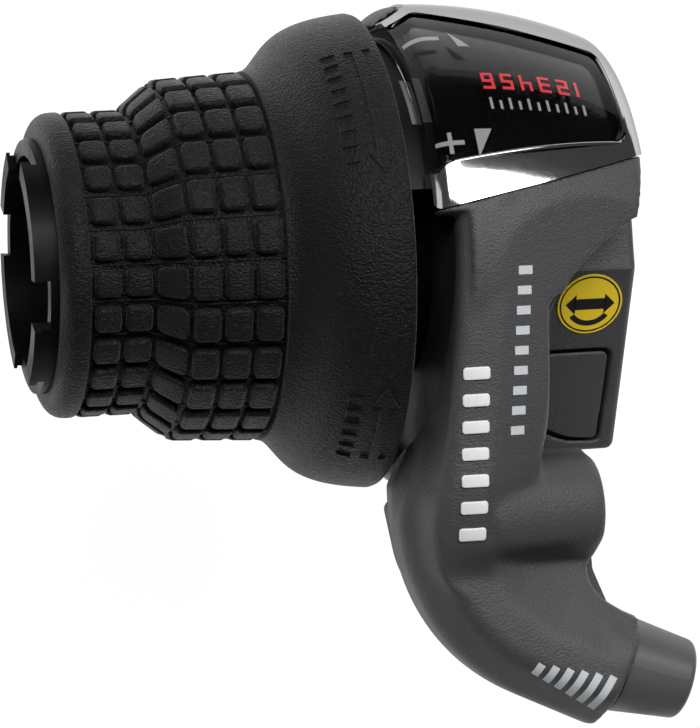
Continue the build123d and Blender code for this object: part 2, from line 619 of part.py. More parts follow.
def lug_slab(z0, z1):
    """Layer of the lug between two heights above the bar axis, after the tilt."""
    return tilted(Pos(0, 0, z0) * Box(60, 90, z1 - z0, align=(Align.CENTER, Align.CENTER, Align.MIN)))


def clamp_body():
    r = CLAMP_RING_R
    profile = make_face([
        Line((LABEL_FLAT, r), (-LUG_LEN + 0.8, r)),
        RadiusArc((-LUG_LEN + 0.8, r), (-LUG_LEN, r - 0.8), -0.8),
        Line((-LUG_LEN, r - 0.8), (-LUG_LEN, -LUG_BACK)),
        Line((-LUG_LEN, -LUG_BACK), (-10.5, -LUG_BACK)),
        Line((-10.5, -LUG_BACK), (0, -r)),
        RadiusArc((0, -r), (7.0, math.sqrt(r * r - 49)), -r),
        Line((7.0, math.sqrt(r * r - 49)), (LABEL_FLAT, r))])
    body = extrude(Plane.YZ.offset(CLAMP_X0) * profile, CLAMP_X1 - CLAMP_X0)
    body = chamfer(body.faces().sort_by(Axis.X)[-1].edges(), 0.5)
    body += tube(12.5, r + 1.2, CLAMP_X0, CLAMP_X0 + 2.0)
    body = tilted(body)
    for phi in BODY_SCREW_PHI:
        y, z = polar(BODY_SCREW_R, phi)
        ear = rod(2.6, CLAMP_X0, CLAMP_X0 + BODY_EAR_T, y, z)
        web = Rot(-phi, 0, 0) * Pos(CLAMP_X0, 0, r - 1) * Box(
            BODY_EAR_T, 4.6, BODY_SCREW_R - r + 1, align=(Align.MIN, Align.CENTER, Align.MIN))
        body += ear + web
        body -= rod(1.2, CLAMP_X0 - 1, CLAMP_X0 + 4, y, z)
        # Way in for the screw's head and its driver
        body -= rod(BODY_SCREW_HEAD_R + SEAT_CLEAR, CLAMP_X0 + BODY_EAR_T, CLAMP_X1 + 1, y, z)
    body -= rod(BAR_D / 2 + BAND_T + SEAT_CLEAR, -CLAMP_W / 2 - 0.1, CLAMP_W / 2 + 0.1)
    body -= rod(BAR_D / 2 + 0.2, -20, 20)
    body -= rod(CLIP_R + JOINT_CLEAR, -20, -CLAMP_W / 2 - 0.9)
    body -= tilted(Box(40, 40, LUG_SLOT, align=(Align.CENTER, Align.MAX, Align.CENTER)))
    # Nut pocket, bolt holes and the cover's seat
    nut = Pos(0, BOLT_Y, LUG_SLOT / 2 + 0.9) * Box(
        NUT_AF + 0.2, 5.6, 30, align=(Align.CENTER, Align.CENTER, Align.MIN))
    nut = Pos(0, 0, 0) * nut & Box(60, 90, 2 * (r - COVER_T - 0.8))
    bolt = Pos(0, BOLT_Y, 0) * Cylinder(BOLT_R + 0.2, 40)
    head = Pos(0, BOLT_Y, -LUG_BACK + 1.2) * Cylinder(
        BOLT_HEAD_R + 0.3, 20, align=(Align.CENTER, Align.CENTER, Align.MAX))
    body -= tilted(nut + (bolt & Box(60, 90, 2 * (LUG_BACK + 2))) + head)
    body -= prism(grown(COVER_OUTLINE, COVER_GAP), COVER_ROUND, -20, 40) & lug_slab(r - COVER_T - SEAT_CLEAR, r + 5)
    return body


def access_cover():
    return prism(COVER_OUTLINE, COVER_ROUND, -20, 40) & lug_slab(CLAMP_RING_R - COVER_T, CLAMP_RING_R)


def round_label():
    disc = Cylinder(LABEL_R, 0.12, align=(Align.CENTER, Align.CENTER, Align.MIN))
    return tilted(Pos(0, LABEL_Y, CLAMP_RING_R) * disc)


LABEL_Y = 0.4
LABEL_R = 3.4
LABEL_FLAT = LABEL_Y + LABEL_R + 0.4


def clamp_band():
    r0, r1 = BAR_D / 2, BAR_D / 2 + BAND_T
    band = tube(r0, r1, -CLAMP_W / 2, CLAMP_W / 2)
    band -= Box(40, 40, EAR_GAP, align=(Align.CENTER, Align.MAX, Align.CENTER))
    for s in (1, -1):
        ear = Pos(0, BOLT_Y - EAR_END, s * (EAR_GAP / 2 + BAND_T / 2)) * Box(
            CLAMP_W, EAR_END - BOLT_Y - r0 + 0.4, BAND_T, align=(Align.CENTER, Align.MIN, Align.CENTER))
        ear = fillet(ear.edges().filter_by(Axis.Z).sort_by(Axis.Y)[:2], 2.0)
        band += ear - rod(r0, -20, 20)
    band -= Pos(0, BOLT_Y, 0) * Cylinder(BOLT_R + 0.15, 20)
    return tilted(band)


def clamp_bolt():
    head_z = -LUG_BACK + 1.2 - SEAT_CLEAR
    head = Pos(0, 0, head_z) * Cylinder(BOLT_HEAD_R, BOLT_HEAD_H, align=(Align.CENTER, Align.CENTER, Align.MAX))
    head = chamfer(head.edges().sort_by(Axis.Z)[0], 0.4)
    socket = Pos(0, 0, head_z - BOLT_HEAD_H) * extrude(RegularPolygon(1.5, 6, major_radius=False), 2.4)
    shank = Pos(0, 0, head_z - 0.1) * Cylinder(BOLT_R, 16.0, align=(Align.CENTER, Align.CENTER, Align.MIN))
    return tilted(Pos(0, BOLT_Y, 0) * (head - socket + shank))


def clamp_nut():
    nut = Pos(0, 0, LUG_SLOT / 2 + 0.9 + SEAT_CLEAR) * Box(
        NUT_AF, 5.4, NUT_H, align=(Align.CENTER, Align.CENTER, Align.MIN))
    return tilted(Pos(0, BOLT_Y, 0) * (nut - Cylinder(BOLT_R + SEAT_CLEAR, 40)))


def clamp_body_screws():
    screws = []
    for phi in BODY_SCREW_PHI:
        y, z = polar(BODY_SCREW_R, phi)
        place = Plane(origin=(CLAMP_X0 + BODY_EAR_T + SEAT_CLEAR, y, z), x_dir=(0, 1, 0), z_dir=(-1, 0, 0))
        screws.append(place * pan_screw(BODY_SCREW_HEAD_R, 1.4, 1.1, 4.4))
    return Compound(children=screws)


NODES = {
    "grip_core": grip_core,
    "grip_rubber": grip_rubber,
    "indicator_ring": indicator_ring,
    "cable_drum": cable_drum,
    "retaining_ring": retaining_ring,
    "index_spring": index_spring,
    "spring_screw": spring_screw,
    "drum_cover": drum_cover,
    "thrust_washer": thrust_washer,
    "main_housing": main_housing,
    "bezel": bezel,
    "window_lens": window_lens,
    "display_plate": display_plate,
    "rear_cover": rear_cover,
    "rear_cover_screws": rear_cover_screws,
    "cable_guide": cable_guide,
    "casing_socket": casing_socket,
    "clamp_body": clamp_body,
    "access_cover": access_cover,
    "round_label": round_label,
    "clamp_band": clamp_band,
    "clamp_bolt": clamp_bolt,
    "clamp_nut": clamp_nut,
    "clamp_body_screws": clamp_body_screws,
}

for name, make in NODES.items():
    export_step(make(), f"parts/{name}.step")
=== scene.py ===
"""Looks of a twist grip shifter: rubber sleeve, moulded housing, gear window, clamp and a plain studio."""

import json
import math

import bmesh
import bpy
from bpy.props import FloatProperty, FloatVectorProperty, IntProperty, PointerProperty
from mathutils import Matrix, Vector
from mathutils.bvhtree import BVHTree
from mathutils.geometry import interpolate_bezier

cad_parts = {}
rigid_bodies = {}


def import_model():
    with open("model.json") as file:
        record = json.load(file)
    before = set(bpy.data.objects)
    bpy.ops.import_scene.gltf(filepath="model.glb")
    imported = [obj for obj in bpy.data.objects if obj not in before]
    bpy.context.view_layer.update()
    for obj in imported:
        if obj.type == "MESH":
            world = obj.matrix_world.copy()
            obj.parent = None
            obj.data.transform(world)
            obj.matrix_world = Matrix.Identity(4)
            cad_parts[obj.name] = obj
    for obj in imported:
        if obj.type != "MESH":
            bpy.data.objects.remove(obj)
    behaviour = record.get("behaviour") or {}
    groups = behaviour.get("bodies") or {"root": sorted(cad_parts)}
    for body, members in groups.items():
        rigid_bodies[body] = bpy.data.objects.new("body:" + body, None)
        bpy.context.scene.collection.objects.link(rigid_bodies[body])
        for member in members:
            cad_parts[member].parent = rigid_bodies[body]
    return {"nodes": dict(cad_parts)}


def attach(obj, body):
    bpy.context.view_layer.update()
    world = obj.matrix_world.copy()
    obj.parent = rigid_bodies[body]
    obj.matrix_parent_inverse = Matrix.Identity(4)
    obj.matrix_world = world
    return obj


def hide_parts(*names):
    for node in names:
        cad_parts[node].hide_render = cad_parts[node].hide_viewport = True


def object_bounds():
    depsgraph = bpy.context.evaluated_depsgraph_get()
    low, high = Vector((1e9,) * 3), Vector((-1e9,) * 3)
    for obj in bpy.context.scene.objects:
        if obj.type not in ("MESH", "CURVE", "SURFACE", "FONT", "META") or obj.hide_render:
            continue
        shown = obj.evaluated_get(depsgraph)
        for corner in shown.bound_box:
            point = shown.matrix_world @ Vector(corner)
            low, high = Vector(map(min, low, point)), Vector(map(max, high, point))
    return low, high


bl_info = {
    "name": "Twist Grip Shifter Looks",
    "version": (1, 0, 0),
    "blender": (4, 5, 0),
    "location": "View3D > Sidebar > Shifter",
    "description": "Dresses a twist grip shifter with rubber, moulded plastic, chrome and printed marks",
    "category": "Object",
}

# Only the part and what is made here stand in the scene
for leftover in list(bpy.data.objects):
    bpy.data.objects.remove(leftover)
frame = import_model()
CAD_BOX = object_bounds()

# Sizes below are in mm and angles in degrees, unless a name says otherwise
MM = 0.001
MERGE = 0.002 * MM

# Rubber sleeve: places along the bar from the clamp's middle, and radii
RINGS = (-51.08, -48.05, -44.95, -41.85, -38.75, -35.65, -32.58)
RING_HALF = 0.23
NARROW_R, WIDE_R, SHOULDER_R = 15.4, 18.3, 18.8
CONE = (-45.2, -41.6)
SLEEVE_END = -54.0
BORE_R = 12.85
BELL = ((-34.5, BORE_R), (-25.5, 19.95))
RIM, RIM_ROUND = (-20.9, 24.3), 0.6
WAIST_X, WAIST_DROP = -28.6, 2.2

# Small roundings of the sleeve's outline, as steps along the bar and out from it
NOSE = ((0.0, 0.6), (0.1, 1.9), (0.8, NARROW_R - BORE_R), (1.9, NARROW_R - BORE_R))
BED_LIP, RIM_LIP = ((-0.25, 0.0), (-0.06, -0.08), (0.0, -0.25)), ((-0.18, -0.12), (0.0, -0.5))
SHOULDER_STEP = (0.03, 0.2)

# Handles of the flange's curve: out of the tread, into and out of the waist, into the rim
TREAD_HANDLE, WAIST_IN, WAIST_OUT, RIM_HANDLE = (1.5, 0.15), (1.2, 1.05), (1.4, 1.2), (3.6, 0.36)

# Blocks and prints are rooted this deep in what carries them
SINK = 0.1

# Tread: faces per row and per rounding, reach and first share of the painted shade in the grooves, web
# along each slot
ROW_STEPS, ROUND_STEPS = 6, 3
GROOVE_SHADE_REACH, GROOVE_SHADE_START = 0.3, 0.1
SLOT_WEB_HALF, SLOT_WEB_RISE = 0.22, 0.16

# Raised marks of the flange: arrows and ribs, the spans that they fill and how far they stand out
ARROW_X, ARROW_WIDTH, ARROW_HEAD, ARROW_POINT, ARROW_BARB = -23.4, 0.9, 1.3, 3.0, 5.4
RIB_X, RIB_HALF, RIB_PITCH = (-27.0, -25.6), 0.75, 4.0
MARK_SPANS = ((16.0, 58.0), (-66.0, -36.0))
RELIEF = (-0.2, 0.28)

# Window dome, a crowned barrel about the bar, rolled over on the grip side
DOME_R, DOME_X, DOME_CROWN, DOME_ROLL = 24.8, -16.0, 50.0, 3.4

# Indicator ring under the dome, and its pale tile as (x, x, degrees, degrees)
RING_R = 21.0
TILE, TILE_INK = (-18.9, -16.85, 33.5, 50.5), (-SINK, 0.06)

# Edges of the lens and of the bezel in plan; the housing stays crisp beyond the bezel's
LENS_LINE = ((-18.3, 21.8), (-15.9, 23.5), (-7.4, 21.4), (2.3, 18.4), (2.7, 8.8), (-16.8, 7.5))
BEZEL_LINE = ((-18.8, 2.8), (-5.8, 5.4), (7.0, 8.2))

# Bead around the lens: half width, height, place beside the line, depth of its seat and length of a corner;
# points across it, and how often and how far its corners are cut off
BEAD_HALF, BEAD_RISE, BEAD_SIDE, BEAD_SEAT, BEAD_CORNER = 0.22, 0.24, 0.12, 0.08, 1.5
BEAD_POINTS, BEAD_CUTS, BEAD_CUT = 9, 3, 0.25

# Prints on the dome as (x, x, degrees, degrees) or corners: signs, pointers, scale and numerals
GLOSS_INK = (-SINK, 0.02)
MINUS = (-18.4, -14.8, 54.0, 55.6)
PLUS_ACROSS, PLUS_UPRIGHT = (-18.0, -15.2, 21.5, 22.6), (-16.8, -16.4, 19.4, 24.7)
POINTERS = (
    ((-13.7, 57.6), (-13.7, 57.6), (-12.0, 51.4), (-13.2, 51.4)),
    ((-13.9, 18.4), (-13.9, 18.4), (-12.2, 25.4), (-14.0, 25.4)))
TICK_COUNT, TICK_X, TICK_PITCH, TICK_HALF = 11, -11.6, 1.0, 0.14
TICK_FOOT, TICK_LONG, TICK_SHORT = 30.8, 34.0, 33.2
NUMERALS, NUMERAL_X, NUMERAL_PITCH, NUMERAL_PHI = "654321", -12.0, 2.0, 36.6
NUMERAL_WIDTH, NUMERAL_HEIGHT, STROKE_X, STROKE_PHI = 1.25, 5.0, 0.32, 0.8
STROKES = {"1": "bc", "2": "abged", "3": "abgcd", "4": "fgbc", "5": "afgcd", "6": "afgedc"}

# Skins: size of a face before smoothing, share of the faces that is kept, and rounds of smoothing
HOUSING_VOXEL, HOUSING_KEEP = 0.27, 0.55
SMALL_SKINS, SMALL_KEEP = (("clamp_body", "housing", 0.24), ("access_cover", "cover", 0.16)), 0.4
EDGE_ROUNDS, MELT_ROUNDS, SMALL_ROUNDS = 6, 14, 4

# Grain of the housing's plastic
NYLON_ROUGHNESS, NYLON_GRAIN_DEPTH = 0.5, 0.14

# Fits that stay crisp, with the margin kept around each, and where the arm's shapes melt together
ARM_BASE, CAVITY_R, FIT_MARGIN, CAVITY_MARGIN = 5.2, 22.1, 0.7, 0.6
OUTLET, OUTLET_AXIS = (0.7, -43.2, 11.35), (0.951, -0.309, 0.0)
OUTLET_START, OUTLET_R = -6.5, 5.6
MELT_Y, MELT_Z = -20.0, 9.0

# Ridge of the elbow in plan, the facet that falls from it, and the web that carries the facet to the bulge
RIDGE = ((-13.4, -29.0), (-13.2, -32.5), (-11.4, -36.2), (-7.2, -39.6), (-1.2, -42.4), (5.0, -44.4))
RIDGE_Z, RIDGE_FALL = 17.3, 0.55
FACET_Y, FACET_BLEND, FACET_LOW = -30.5, 3, 12.5
FACET_END, FACET_FADE = 1.5, 5
ELBOW_WEB = (
    (-9.5, -31.8), (-1.7, -31.8), (-1.9, -33.0), (-1.95, -34.8), (-1.05, -36.4), (0.5, -37.5),
    (2.6, -38.8), (0.2, -41.0), (-8.5, -37.5))
ELBOW_WEB_FOOT, ELBOW_WEB_DROP = 0.3, 0.1

# Low shelf beside the bulge, next to the clamp
SHELF, SHELF_Z = ((-9.0, -23.0), (-1.6, -23.0), (-1.6, -21.1), (-9.0, -21.1)), (8.5, 12.4)

# Marks of the arm: a row of raised bars, a printed scale and a fan of growing bars by the outlet
BAR_COUNT, BAR_START, BAR_STEP = 7, (-15.25, -13.2), (-0.11, -2.62)
BAR_SIZE, BAR_CORNER, BAR_EDGE, BAR_SEAT = (2.6, 1.25, 0.4), 0.3, 0.12, 0.15
DASH_COUNT, DASH_START, DASH_STEP, DASH_HALF = 9, (-10.0, -3.4), (-0.14, -1.95), (0.75, 0.42)
FAN_COUNT, FAN_START, FAN_PITCH, FAN_WIDTH = 6, (-9.6, -43.2), 1.42, 0.8
FAN_FIRST, FAN_GROWTH, FAN_ALONG, FAN_ACROSS = 1.2, 0.5, (0.84, -0.54), (0.54, 0.84)
DASH_INK, FAN_INK = (-SINK, 0.05), (-SINK, 0.06)

# Height above the part from which marks are dropped onto the arm
DRAPE_FROM = 60

# Clamp lug and its label: a ring line, an arc and a double arrow
LUG_TILT = 31.0
LABEL_Y, LABEL_Z = 0.4, 14.1
LABEL_LINE, LABEL_ARC, LABEL_ARC_SPAN = (3.02, 3.2), (1.9, 2.5), (215, 325)
LABEL_SHAFT = (-1.7, 1.7, -0.62, 0.62)
LABEL_TIP, LABEL_HEAD, LABEL_HEAD_HALF = 2.6, 1.5, 1.15
LABEL_INK = (-0.03, 0.03)

# Studio, in m: each lamp's place from the part's middle and its size
KEY_PLACE, KEY_SIZE = (0.07, 0.335, 0.675), (0.98, 0.26)
END_PLACE, END_SIZE = (-0.60, 0.16, 0.30), (0.20, 0.20)
FLOOR_SIZE = 6.0

# Share of the floor that shows as a white backdrop, and its level; the rest keeps the part's shadow
BACKDROP_SHARE, BACKDROP_LEVEL = 0.86, 1.13

# Camera, matched to a picture of this many pixels
PICTURE = (700, 728)
FOCAL_PX = 3880.0
SENSOR = 36.0
CAMERA_DISTANCE = 400.0
CAMERA_YAW, CAMERA_ROLL = 14.03, 3.27
CAMERA_SHIFT = (7.09, 12.01)
CAMERA_CENTRE_X = -14.2


def srgb(text):
    """Linear colour from an sRGB hex value."""
    parts = [int(text[i:i + 2], 16) / 255 for i in (0, 2, 4)]
    linear = [c / 12.92 if c <= 0.04045 else ((c + 0.055) / 1.055) ** 2.4 for c in parts]
    return (*linear, 1.0)


class SleeveSettings(bpy.types.PropertyGroup):
    """Sizes and colour of the rubber sleeve."""
    rows: IntProperty(name="Rows", description="Tread blocks around the sleeve", default=26, min=8)
    phase: FloatProperty(
        name="Phase", description="Turn of the first row", default=math.radians(4.2), subtype="ANGLE")
    depth: FloatProperty(
        name="Depth", description="Height of a tread block", default=0.95 * MM, unit="LENGTH")
    slot: FloatProperty(name="Slot", description="Gap between rows", default=0.95 * MM, unit="LENGTH")
    ring: FloatProperty(name="Ring", description="Gap between columns", default=0.45 * MM, unit="LENGTH")
    corner: FloatProperty(
        name="Corner", description="Corner radius of a block", default=0.6 * MM, unit="LENGTH")
    edge: FloatProperty(name="Edge", description="Edge radius of a block", default=0.42 * MM, unit="LENGTH")
    colour: FloatVectorProperty(
        name="Rubber", description="Body colour of the rubber", subtype="COLOR", size=4,
        default=srgb("0e0e0f"))


class HousingSettings(bpy.types.PropertyGroup):
    """Colours and grain of the moulded housing."""
    colour: FloatVectorProperty(
        name="Housing", description="Body colour of the housing", subtype="COLOR", size=4,
        default=srgb("404041"))
    grain: FloatProperty(
        name="Grain", description="Width of the mould grain", default=0.2 * MM, unit="LENGTH")
    print_colour: FloatVectorProperty(
        name="Marks", description="White of the raised marks", subtype="COLOR", size=4,
        default=srgb("efefef"))
    label_colour: FloatVectorProperty(
        name="Label", description="Yellow of the round label", subtype="COLOR", size=4,
        default=srgb("ffdc32"))


class WindowSettings(bpy.types.PropertyGroup):
    """Colours of the gear window."""
    chrome: FloatVectorProperty(
        name="Chrome", description="Colour of the plated bezel", subtype="COLOR", size=4,
        default=srgb("c4c5c5"))
    numerals: FloatVectorProperty(
        name="Numerals", description="Red of the gear numerals", subtype="COLOR", size=4,
        default=srgb("cc3d45"))
    signs: FloatVectorProperty(
        name="Signs", description="Grey of the plus, minus and arrows", subtype="COLOR", size=4,
        default=srgb("8c8c8e"))


class StageSettings(bpy.types.PropertyGroup):
    """Floor and light of the plain studio."""
    floor_gap: FloatProperty(
        name="Floor gap", description="Floor below the part", default=40 * MM, unit="LENGTH")
    key: FloatProperty(name="Key", description="Power of the overhead lamp", default=7.4, unit="POWER")
    end: FloatProperty(name="End", description="Power of the grip-end lamp", default=0.1, unit="POWER")
    sky: FloatProperty(name="Sky", description="Level of the light all round", default=0.07)


def node(tree, kind, inputs=None, **settings):
    """Adds one shader node; inputs maps a socket to a value or to another node's output."""
    made = tree.nodes.new(kind)
    for name, value in settings.items():
        setattr(made, name, value)
    for socket, value in (inputs or {}).items():
        if isinstance(value, bpy.types.NodeSocket):
            tree.links.new(value, made.inputs[socket])
        else:
            made.inputs[socket].default_value = value
    return made


def blank_material(name):
    """An empty node material and its tree."""
    look = bpy.data.materials.new(name)
    look.use_nodes = True
    look.node_tree.nodes.clear()
    return look, look.node_tree


def shaded(colour, factor):
    """The same colour, lighter or darker."""
    return [c * factor for c in colour[:3]] + [1]


def moulded_plastic(name, colour, grain, roughness, depth):
    """Glass-filled nylon from a spark-eroded mould: dark, with a fine matt grain that breaks up gloss."""
    look, tree = blank_material(name)
    place = node(tree, "ShaderNodeTexCoord").outputs["Object"]
    fine = node(tree, "ShaderNodeTexNoise", {
        "Vector": place, "Scale": 1 / grain, "Detail": 2.0, "Roughness": 0.6})
    broad = node(tree, "ShaderNodeTexNoise", {"Vector": place, "Scale": 1 / (9 * MM), "Detail": 3.0})
    worn = node(tree, "ShaderNodeMapRange", {
        "Value": broad.outputs["Fac"], "From Min": 0.3, "From Max": 0.7, "To Min": roughness - 0.05,
        "To Max": roughness + 0.06})
    tint = node(tree, "ShaderNodeMixRGB", {
        "Fac": fine.outputs["Fac"], "Color1": shaded(colour, 0.7), "Color2": shaded(colour, 1.3)})
    bump = node(tree, "ShaderNodeBump", {"Height": fine.outputs["Fac"], "Distance": depth, "Strength": 0.7})
    body = node(tree, "ShaderNodeBsdfPrincipled", {
        "Base Color": tint.outputs["Color"], "Roughness": worn.outputs["Result"], "IOR": 1.53,
        "Normal": bump.outputs["Normal"]})
    node(tree, "ShaderNodeOutputMaterial", {"Surface": body.outputs["BSDF"]})
    return look


def grained_rubber(name, colour):
    """Moulded thermoplastic rubber: deep black, pebbled, wrinkled along the bar, with a dull sheen and
    painted shade in the tread slots.
    """
    look, tree = blank_material(name)
    place = node(tree, "ShaderNodeTexCoord").outputs["Object"]
    drawn = node(tree, "ShaderNodeMapping", {
        "Vector": place, "Scale": (1 / (0.7 * MM), 1 / (0.22 * MM), 1 / (0.22 * MM))})
    wrinkle = node(tree, "ShaderNodeTexNoise", {
        "Vector": drawn.outputs["Vector"], "Scale": 1.0, "Detail": 2.0, "Distortion": 0.4})
    pebble = node(tree, "ShaderNodeTexNoise", {"Vector": place, "Scale": 1 / (0.24 * MM), "Detail": 1.0})
    height = node(tree, "ShaderNodeMath", {
        0: pebble.outputs["Fac"], 1: 1.6, 2: wrinkle.outputs["Fac"]}, operation="MULTIPLY_ADD")
    bump = node(tree, "ShaderNodeBump", {
        "Height": height.outputs["Value"], "Distance": 0.1 * MM, "Strength": 1.0})
    broad = node(tree, "ShaderNodeTexNoise", {"Vector": place, "Scale": 1 / (5 * MM), "Detail": 3.0})
    dust = node(tree, "ShaderNodeMixRGB", {
        "Fac": broad.outputs["Fac"], "Color1": shaded(colour, 0.7), "Color2": shaded(colour, 1.3)})
    gloss = node(tree, "ShaderNodeMapRange", {
        "Value": pebble.outputs["Fac"], "From Min": 0.3, "From Max": 0.7, "To Min": 0.6, "To Max": 0.36})
    # Painted shade in the tread slots: the deeper below the block tops, the darker the colour and the less
    # sheen
    groove_shade = node(tree, "ShaderNodeAttribute", attribute_name="groove_shade").outputs["Fac"]
    shade = node(tree, "ShaderNodeMixRGB", {
        "Fac": groove_shade, "Color1": dust.outputs["Color"], "Color2": shaded(colour, 0.15)})
    sheen = node(tree, "ShaderNodeMapRange", {"Value": groove_shade, "To Min": 0.17, "To Max": 0.0})
    body = node(tree, "ShaderNodeBsdfPrincipled", {
        "Base Color": shade.outputs["Color"], "Roughness": gloss.outputs["Result"],
        "Specular IOR Level": 0.16, "Sheen Weight": sheen.outputs["Result"], "Sheen Roughness": 0.4,
        "Normal": bump.outputs["Normal"]})
    node(tree, "ShaderNodeOutputMaterial", {"Surface": body.outputs["BSDF"]})
    return look


def gloss_plastic(name, colour, roughness, shine=0.5):
    """Polished moulded plastic: near-black with a clean soft reflection and faint flow marks."""
    look, tree = blank_material(name)
    place = node(tree, "ShaderNodeTexCoord").outputs["Object"]
    flow = node(tree, "ShaderNodeTexNoise", {"Vector": place, "Scale": 1 / (5 * MM), "Detail": 4.0})
    soft = node(tree, "ShaderNodeMapRange", {
        "Value": flow.outputs["Fac"], "From Min": 0.3, "From Max": 0.7, "To Min": roughness * 0.8,
        "To Max": roughness * 1.3})
    body = node(tree, "ShaderNodeBsdfPrincipled", {
        "Base Color": colour, "Roughness": soft.outputs["Result"], "IOR": 1.5, "Specular IOR Level": shine})
    node(tree, "ShaderNodeOutputMaterial", {"Surface": body.outputs["BSDF"]})
    return look


def plated_chrome(name, colour):
    """Chrome plate on moulded plastic: mirror bright with an orange-peel ripple, greyer seen edge-on."""
    look, tree = blank_material(name)
    place = node(tree, "ShaderNodeTexCoord").outputs["Object"]
    peel = node(tree, "ShaderNodeTexNoise", {"Vector": place, "Scale": 1 / (0.8 * MM), "Detail": 1.0})
    bump = node(tree, "ShaderNodeBump", {
        "Height": peel.outputs["Fac"], "Distance": 0.004 * MM, "Strength": 0.4})
    haze = node(tree, "ShaderNodeMapRange", {"Value": peel.outputs["Fac"], "To Min": 0.06, "To Max": 0.12})
    body = node(tree, "ShaderNodeBsdfPrincipled", {
        "Base Color": colour, "Metallic": 1.0, "Roughness": haze.outputs["Result"],
        "Normal": bump.outputs["Normal"], "Specular Tint": srgb("c4c4c4")})
    node(tree, "ShaderNodeOutputMaterial", {"Surface": body.outputs["BSDF"]})
    return look


def zinc_steel(name):
    """Zinc-plated steel: grey metal with a cloudy, slightly rough passivated film."""
    look, tree = blank_material(name)
    place = node(tree, "ShaderNodeTexCoord").outputs["Object"]
    cloud = node(tree, "ShaderNodeTexNoise", {"Vector": place, "Scale": 1 / (1.2 * MM), "Detail": 4.0})
    shade = node(tree, "ShaderNodeMixRGB", {
        "Fac": cloud.outputs["Fac"], "Color1": srgb("8f9194"), "Color2": srgb("c3c5c8")})
    film = node(tree, "ShaderNodeMapRange", {"Value": cloud.outputs["Fac"], "To Min": 0.28, "To Max": 0.45})
    body = node(tree, "ShaderNodeBsdfPrincipled", {
        "Base Color": shade.outputs["Color"], "Metallic": 1.0, "Roughness": film.outputs["Result"]})
    node(tree, "ShaderNodeOutputMaterial", {"Surface": body.outputs["BSDF"]})
    return look


def smoked_lens(name):
    """Clear moulded acrylic with a light smoke tint: sharp gloss, sees through to the print below."""
    look, tree = blank_material(name)
    # A lower index than acrylic's, which keeps the reflections faint and the print in its place
    body = node(tree, "ShaderNodeBsdfPrincipled", {
        "Base Color": srgb("c4c4c6"), "Roughness": 0.03, "IOR": 1.2, "Transmission Weight": 1.0,
        "Specular IOR Level": 0.5})
    node(tree, "ShaderNodeOutputMaterial", {"Surface": body.outputs["BSDF"]})
    return look


def printed_ink(name, colour, roughness=0.45):
    """Pad-printed ink: flat colour with slightly uneven coverage."""
    look, tree = blank_material(name)
    place = node(tree, "ShaderNodeTexCoord").outputs["Object"]
    cover = node(tree, "ShaderNodeTexNoise", {"Vector": place, "Scale": 1 / (0.25 * MM), "Detail": 2.0})
    ink = node(tree, "ShaderNodeMixRGB", {
        "Fac": cover.outputs["Fac"], "Color1": shaded(colour, 0.86), "Color2": list(colour)})
    body = node(tree, "ShaderNodeBsdfPrincipled", {
        "Base Color": ink.outputs["Color"], "Roughness": roughness})
    node(tree, "ShaderNodeOutputMaterial", {"Surface": body.outputs["BSDF"]})
    return look


def settings():
    """The shifter's settings in the open scene."""
    return bpy.context.scene.shifter


def material(name, make, *values):
    """The named material, made once."""
    return bpy.data.materials.get(name) or make(name, *values)


def housing_plastic():
    """Grained plastic of the housing, the clamp and their covers."""
    look = settings().housing
    return material(
        "Glass_filled_nylon", moulded_plastic, look.colour, look.grain, NYLON_ROUGHNESS,
        NYLON_GRAIN_DEPTH * MM)


def rubber():
    """Rubber of the sleeve and its raised marks."""
    return material("Leather_grain_rubber", grained_rubber, settings().sleeve.colour)


def finish_piece(bm, name, body, look, replaces=(), crease=40.0):
    """Turns a bmesh into a piece at the origin that rides on a CAD body."""
    bmesh.ops.remove_doubles(bm, verts=bm.verts, dist=MERGE)
    bmesh.ops.recalc_face_normals(bm, faces=bm.faces)
    mesh = bpy.data.meshes.new(name)
    bm.to_mesh(mesh)
    bm.free()
    mesh.materials.append(look)
    mesh.shade_smooth()
    mesh.set_sharp_from_angle(angle=math.radians(crease))
    piece = bpy.data.objects.new(name, mesh)
    bpy.context.scene.collection.objects.link(piece)
    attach(piece, body)
    if replaces:
        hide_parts(*replaces)
    return piece


def dress(look, *names):
    """Gives CAD nodes a finish."""
    for name in names:
        slots = frame["nodes"][name].data.materials
        slots.clear()
        slots.append(look)


def around(x, r, angle):
    """Point at a distance r from the bar axis; the angle runs from +Z towards +Y."""
    return Vector((x, r * math.sin(angle), r * math.cos(angle))) * MM


def tread_radius(x):
    """Radius over the tread blocks."""
    if x < CONE[0]:
        return NARROW_R
    if x < CONE[1]:
        return NARROW_R + (WIDE_R - NARROW_R) * (x - CONE[0]) / (CONE[1] - CONE[0])
    return WIDE_R + (SHOULDER_R - WIDE_R) * (x - CONE[1]) / (RINGS[-1] - CONE[1])


def flange_curve():
    """Points (x, r) along the outside of the flange, from the tread to the rim."""
    start = Vector((RINGS[-1] + RING_HALF, SHOULDER_R))
    waist = Vector((WAIST_X, RIM[1] - WAIST_DROP))
    end = Vector((RIM[0] - RIM_ROUND, RIM[1]))
    rise = interpolate_bezier(start, start + Vector(TREAD_HANDLE), waist - Vector(WAIST_IN), waist, 12)
    crown = interpolate_bezier(waist, waist + Vector(WAIST_OUT), end - Vector(RIM_HANDLE), end, 14)
    return [*rise, *crown[1:]]


def flange_radius(x):
    """Radius over the flange."""
    points = flange_curve()
    for a, b in zip(points, points[1:]):
        if a.x <= x <= b.x:
            return a.y + (b.y - a.y) * (x - a.x) / (b.x - a.x)
    return points[-1].y if x > points[-1].x else points[0].y


def dome_radius(x):
    """Radius over the window dome."""
    r = DOME_CROWN if x > DOME_X else DOME_ROLL
    return DOME_R - r + math.sqrt(r ** 2 - (x - DOME_X) ** 2)


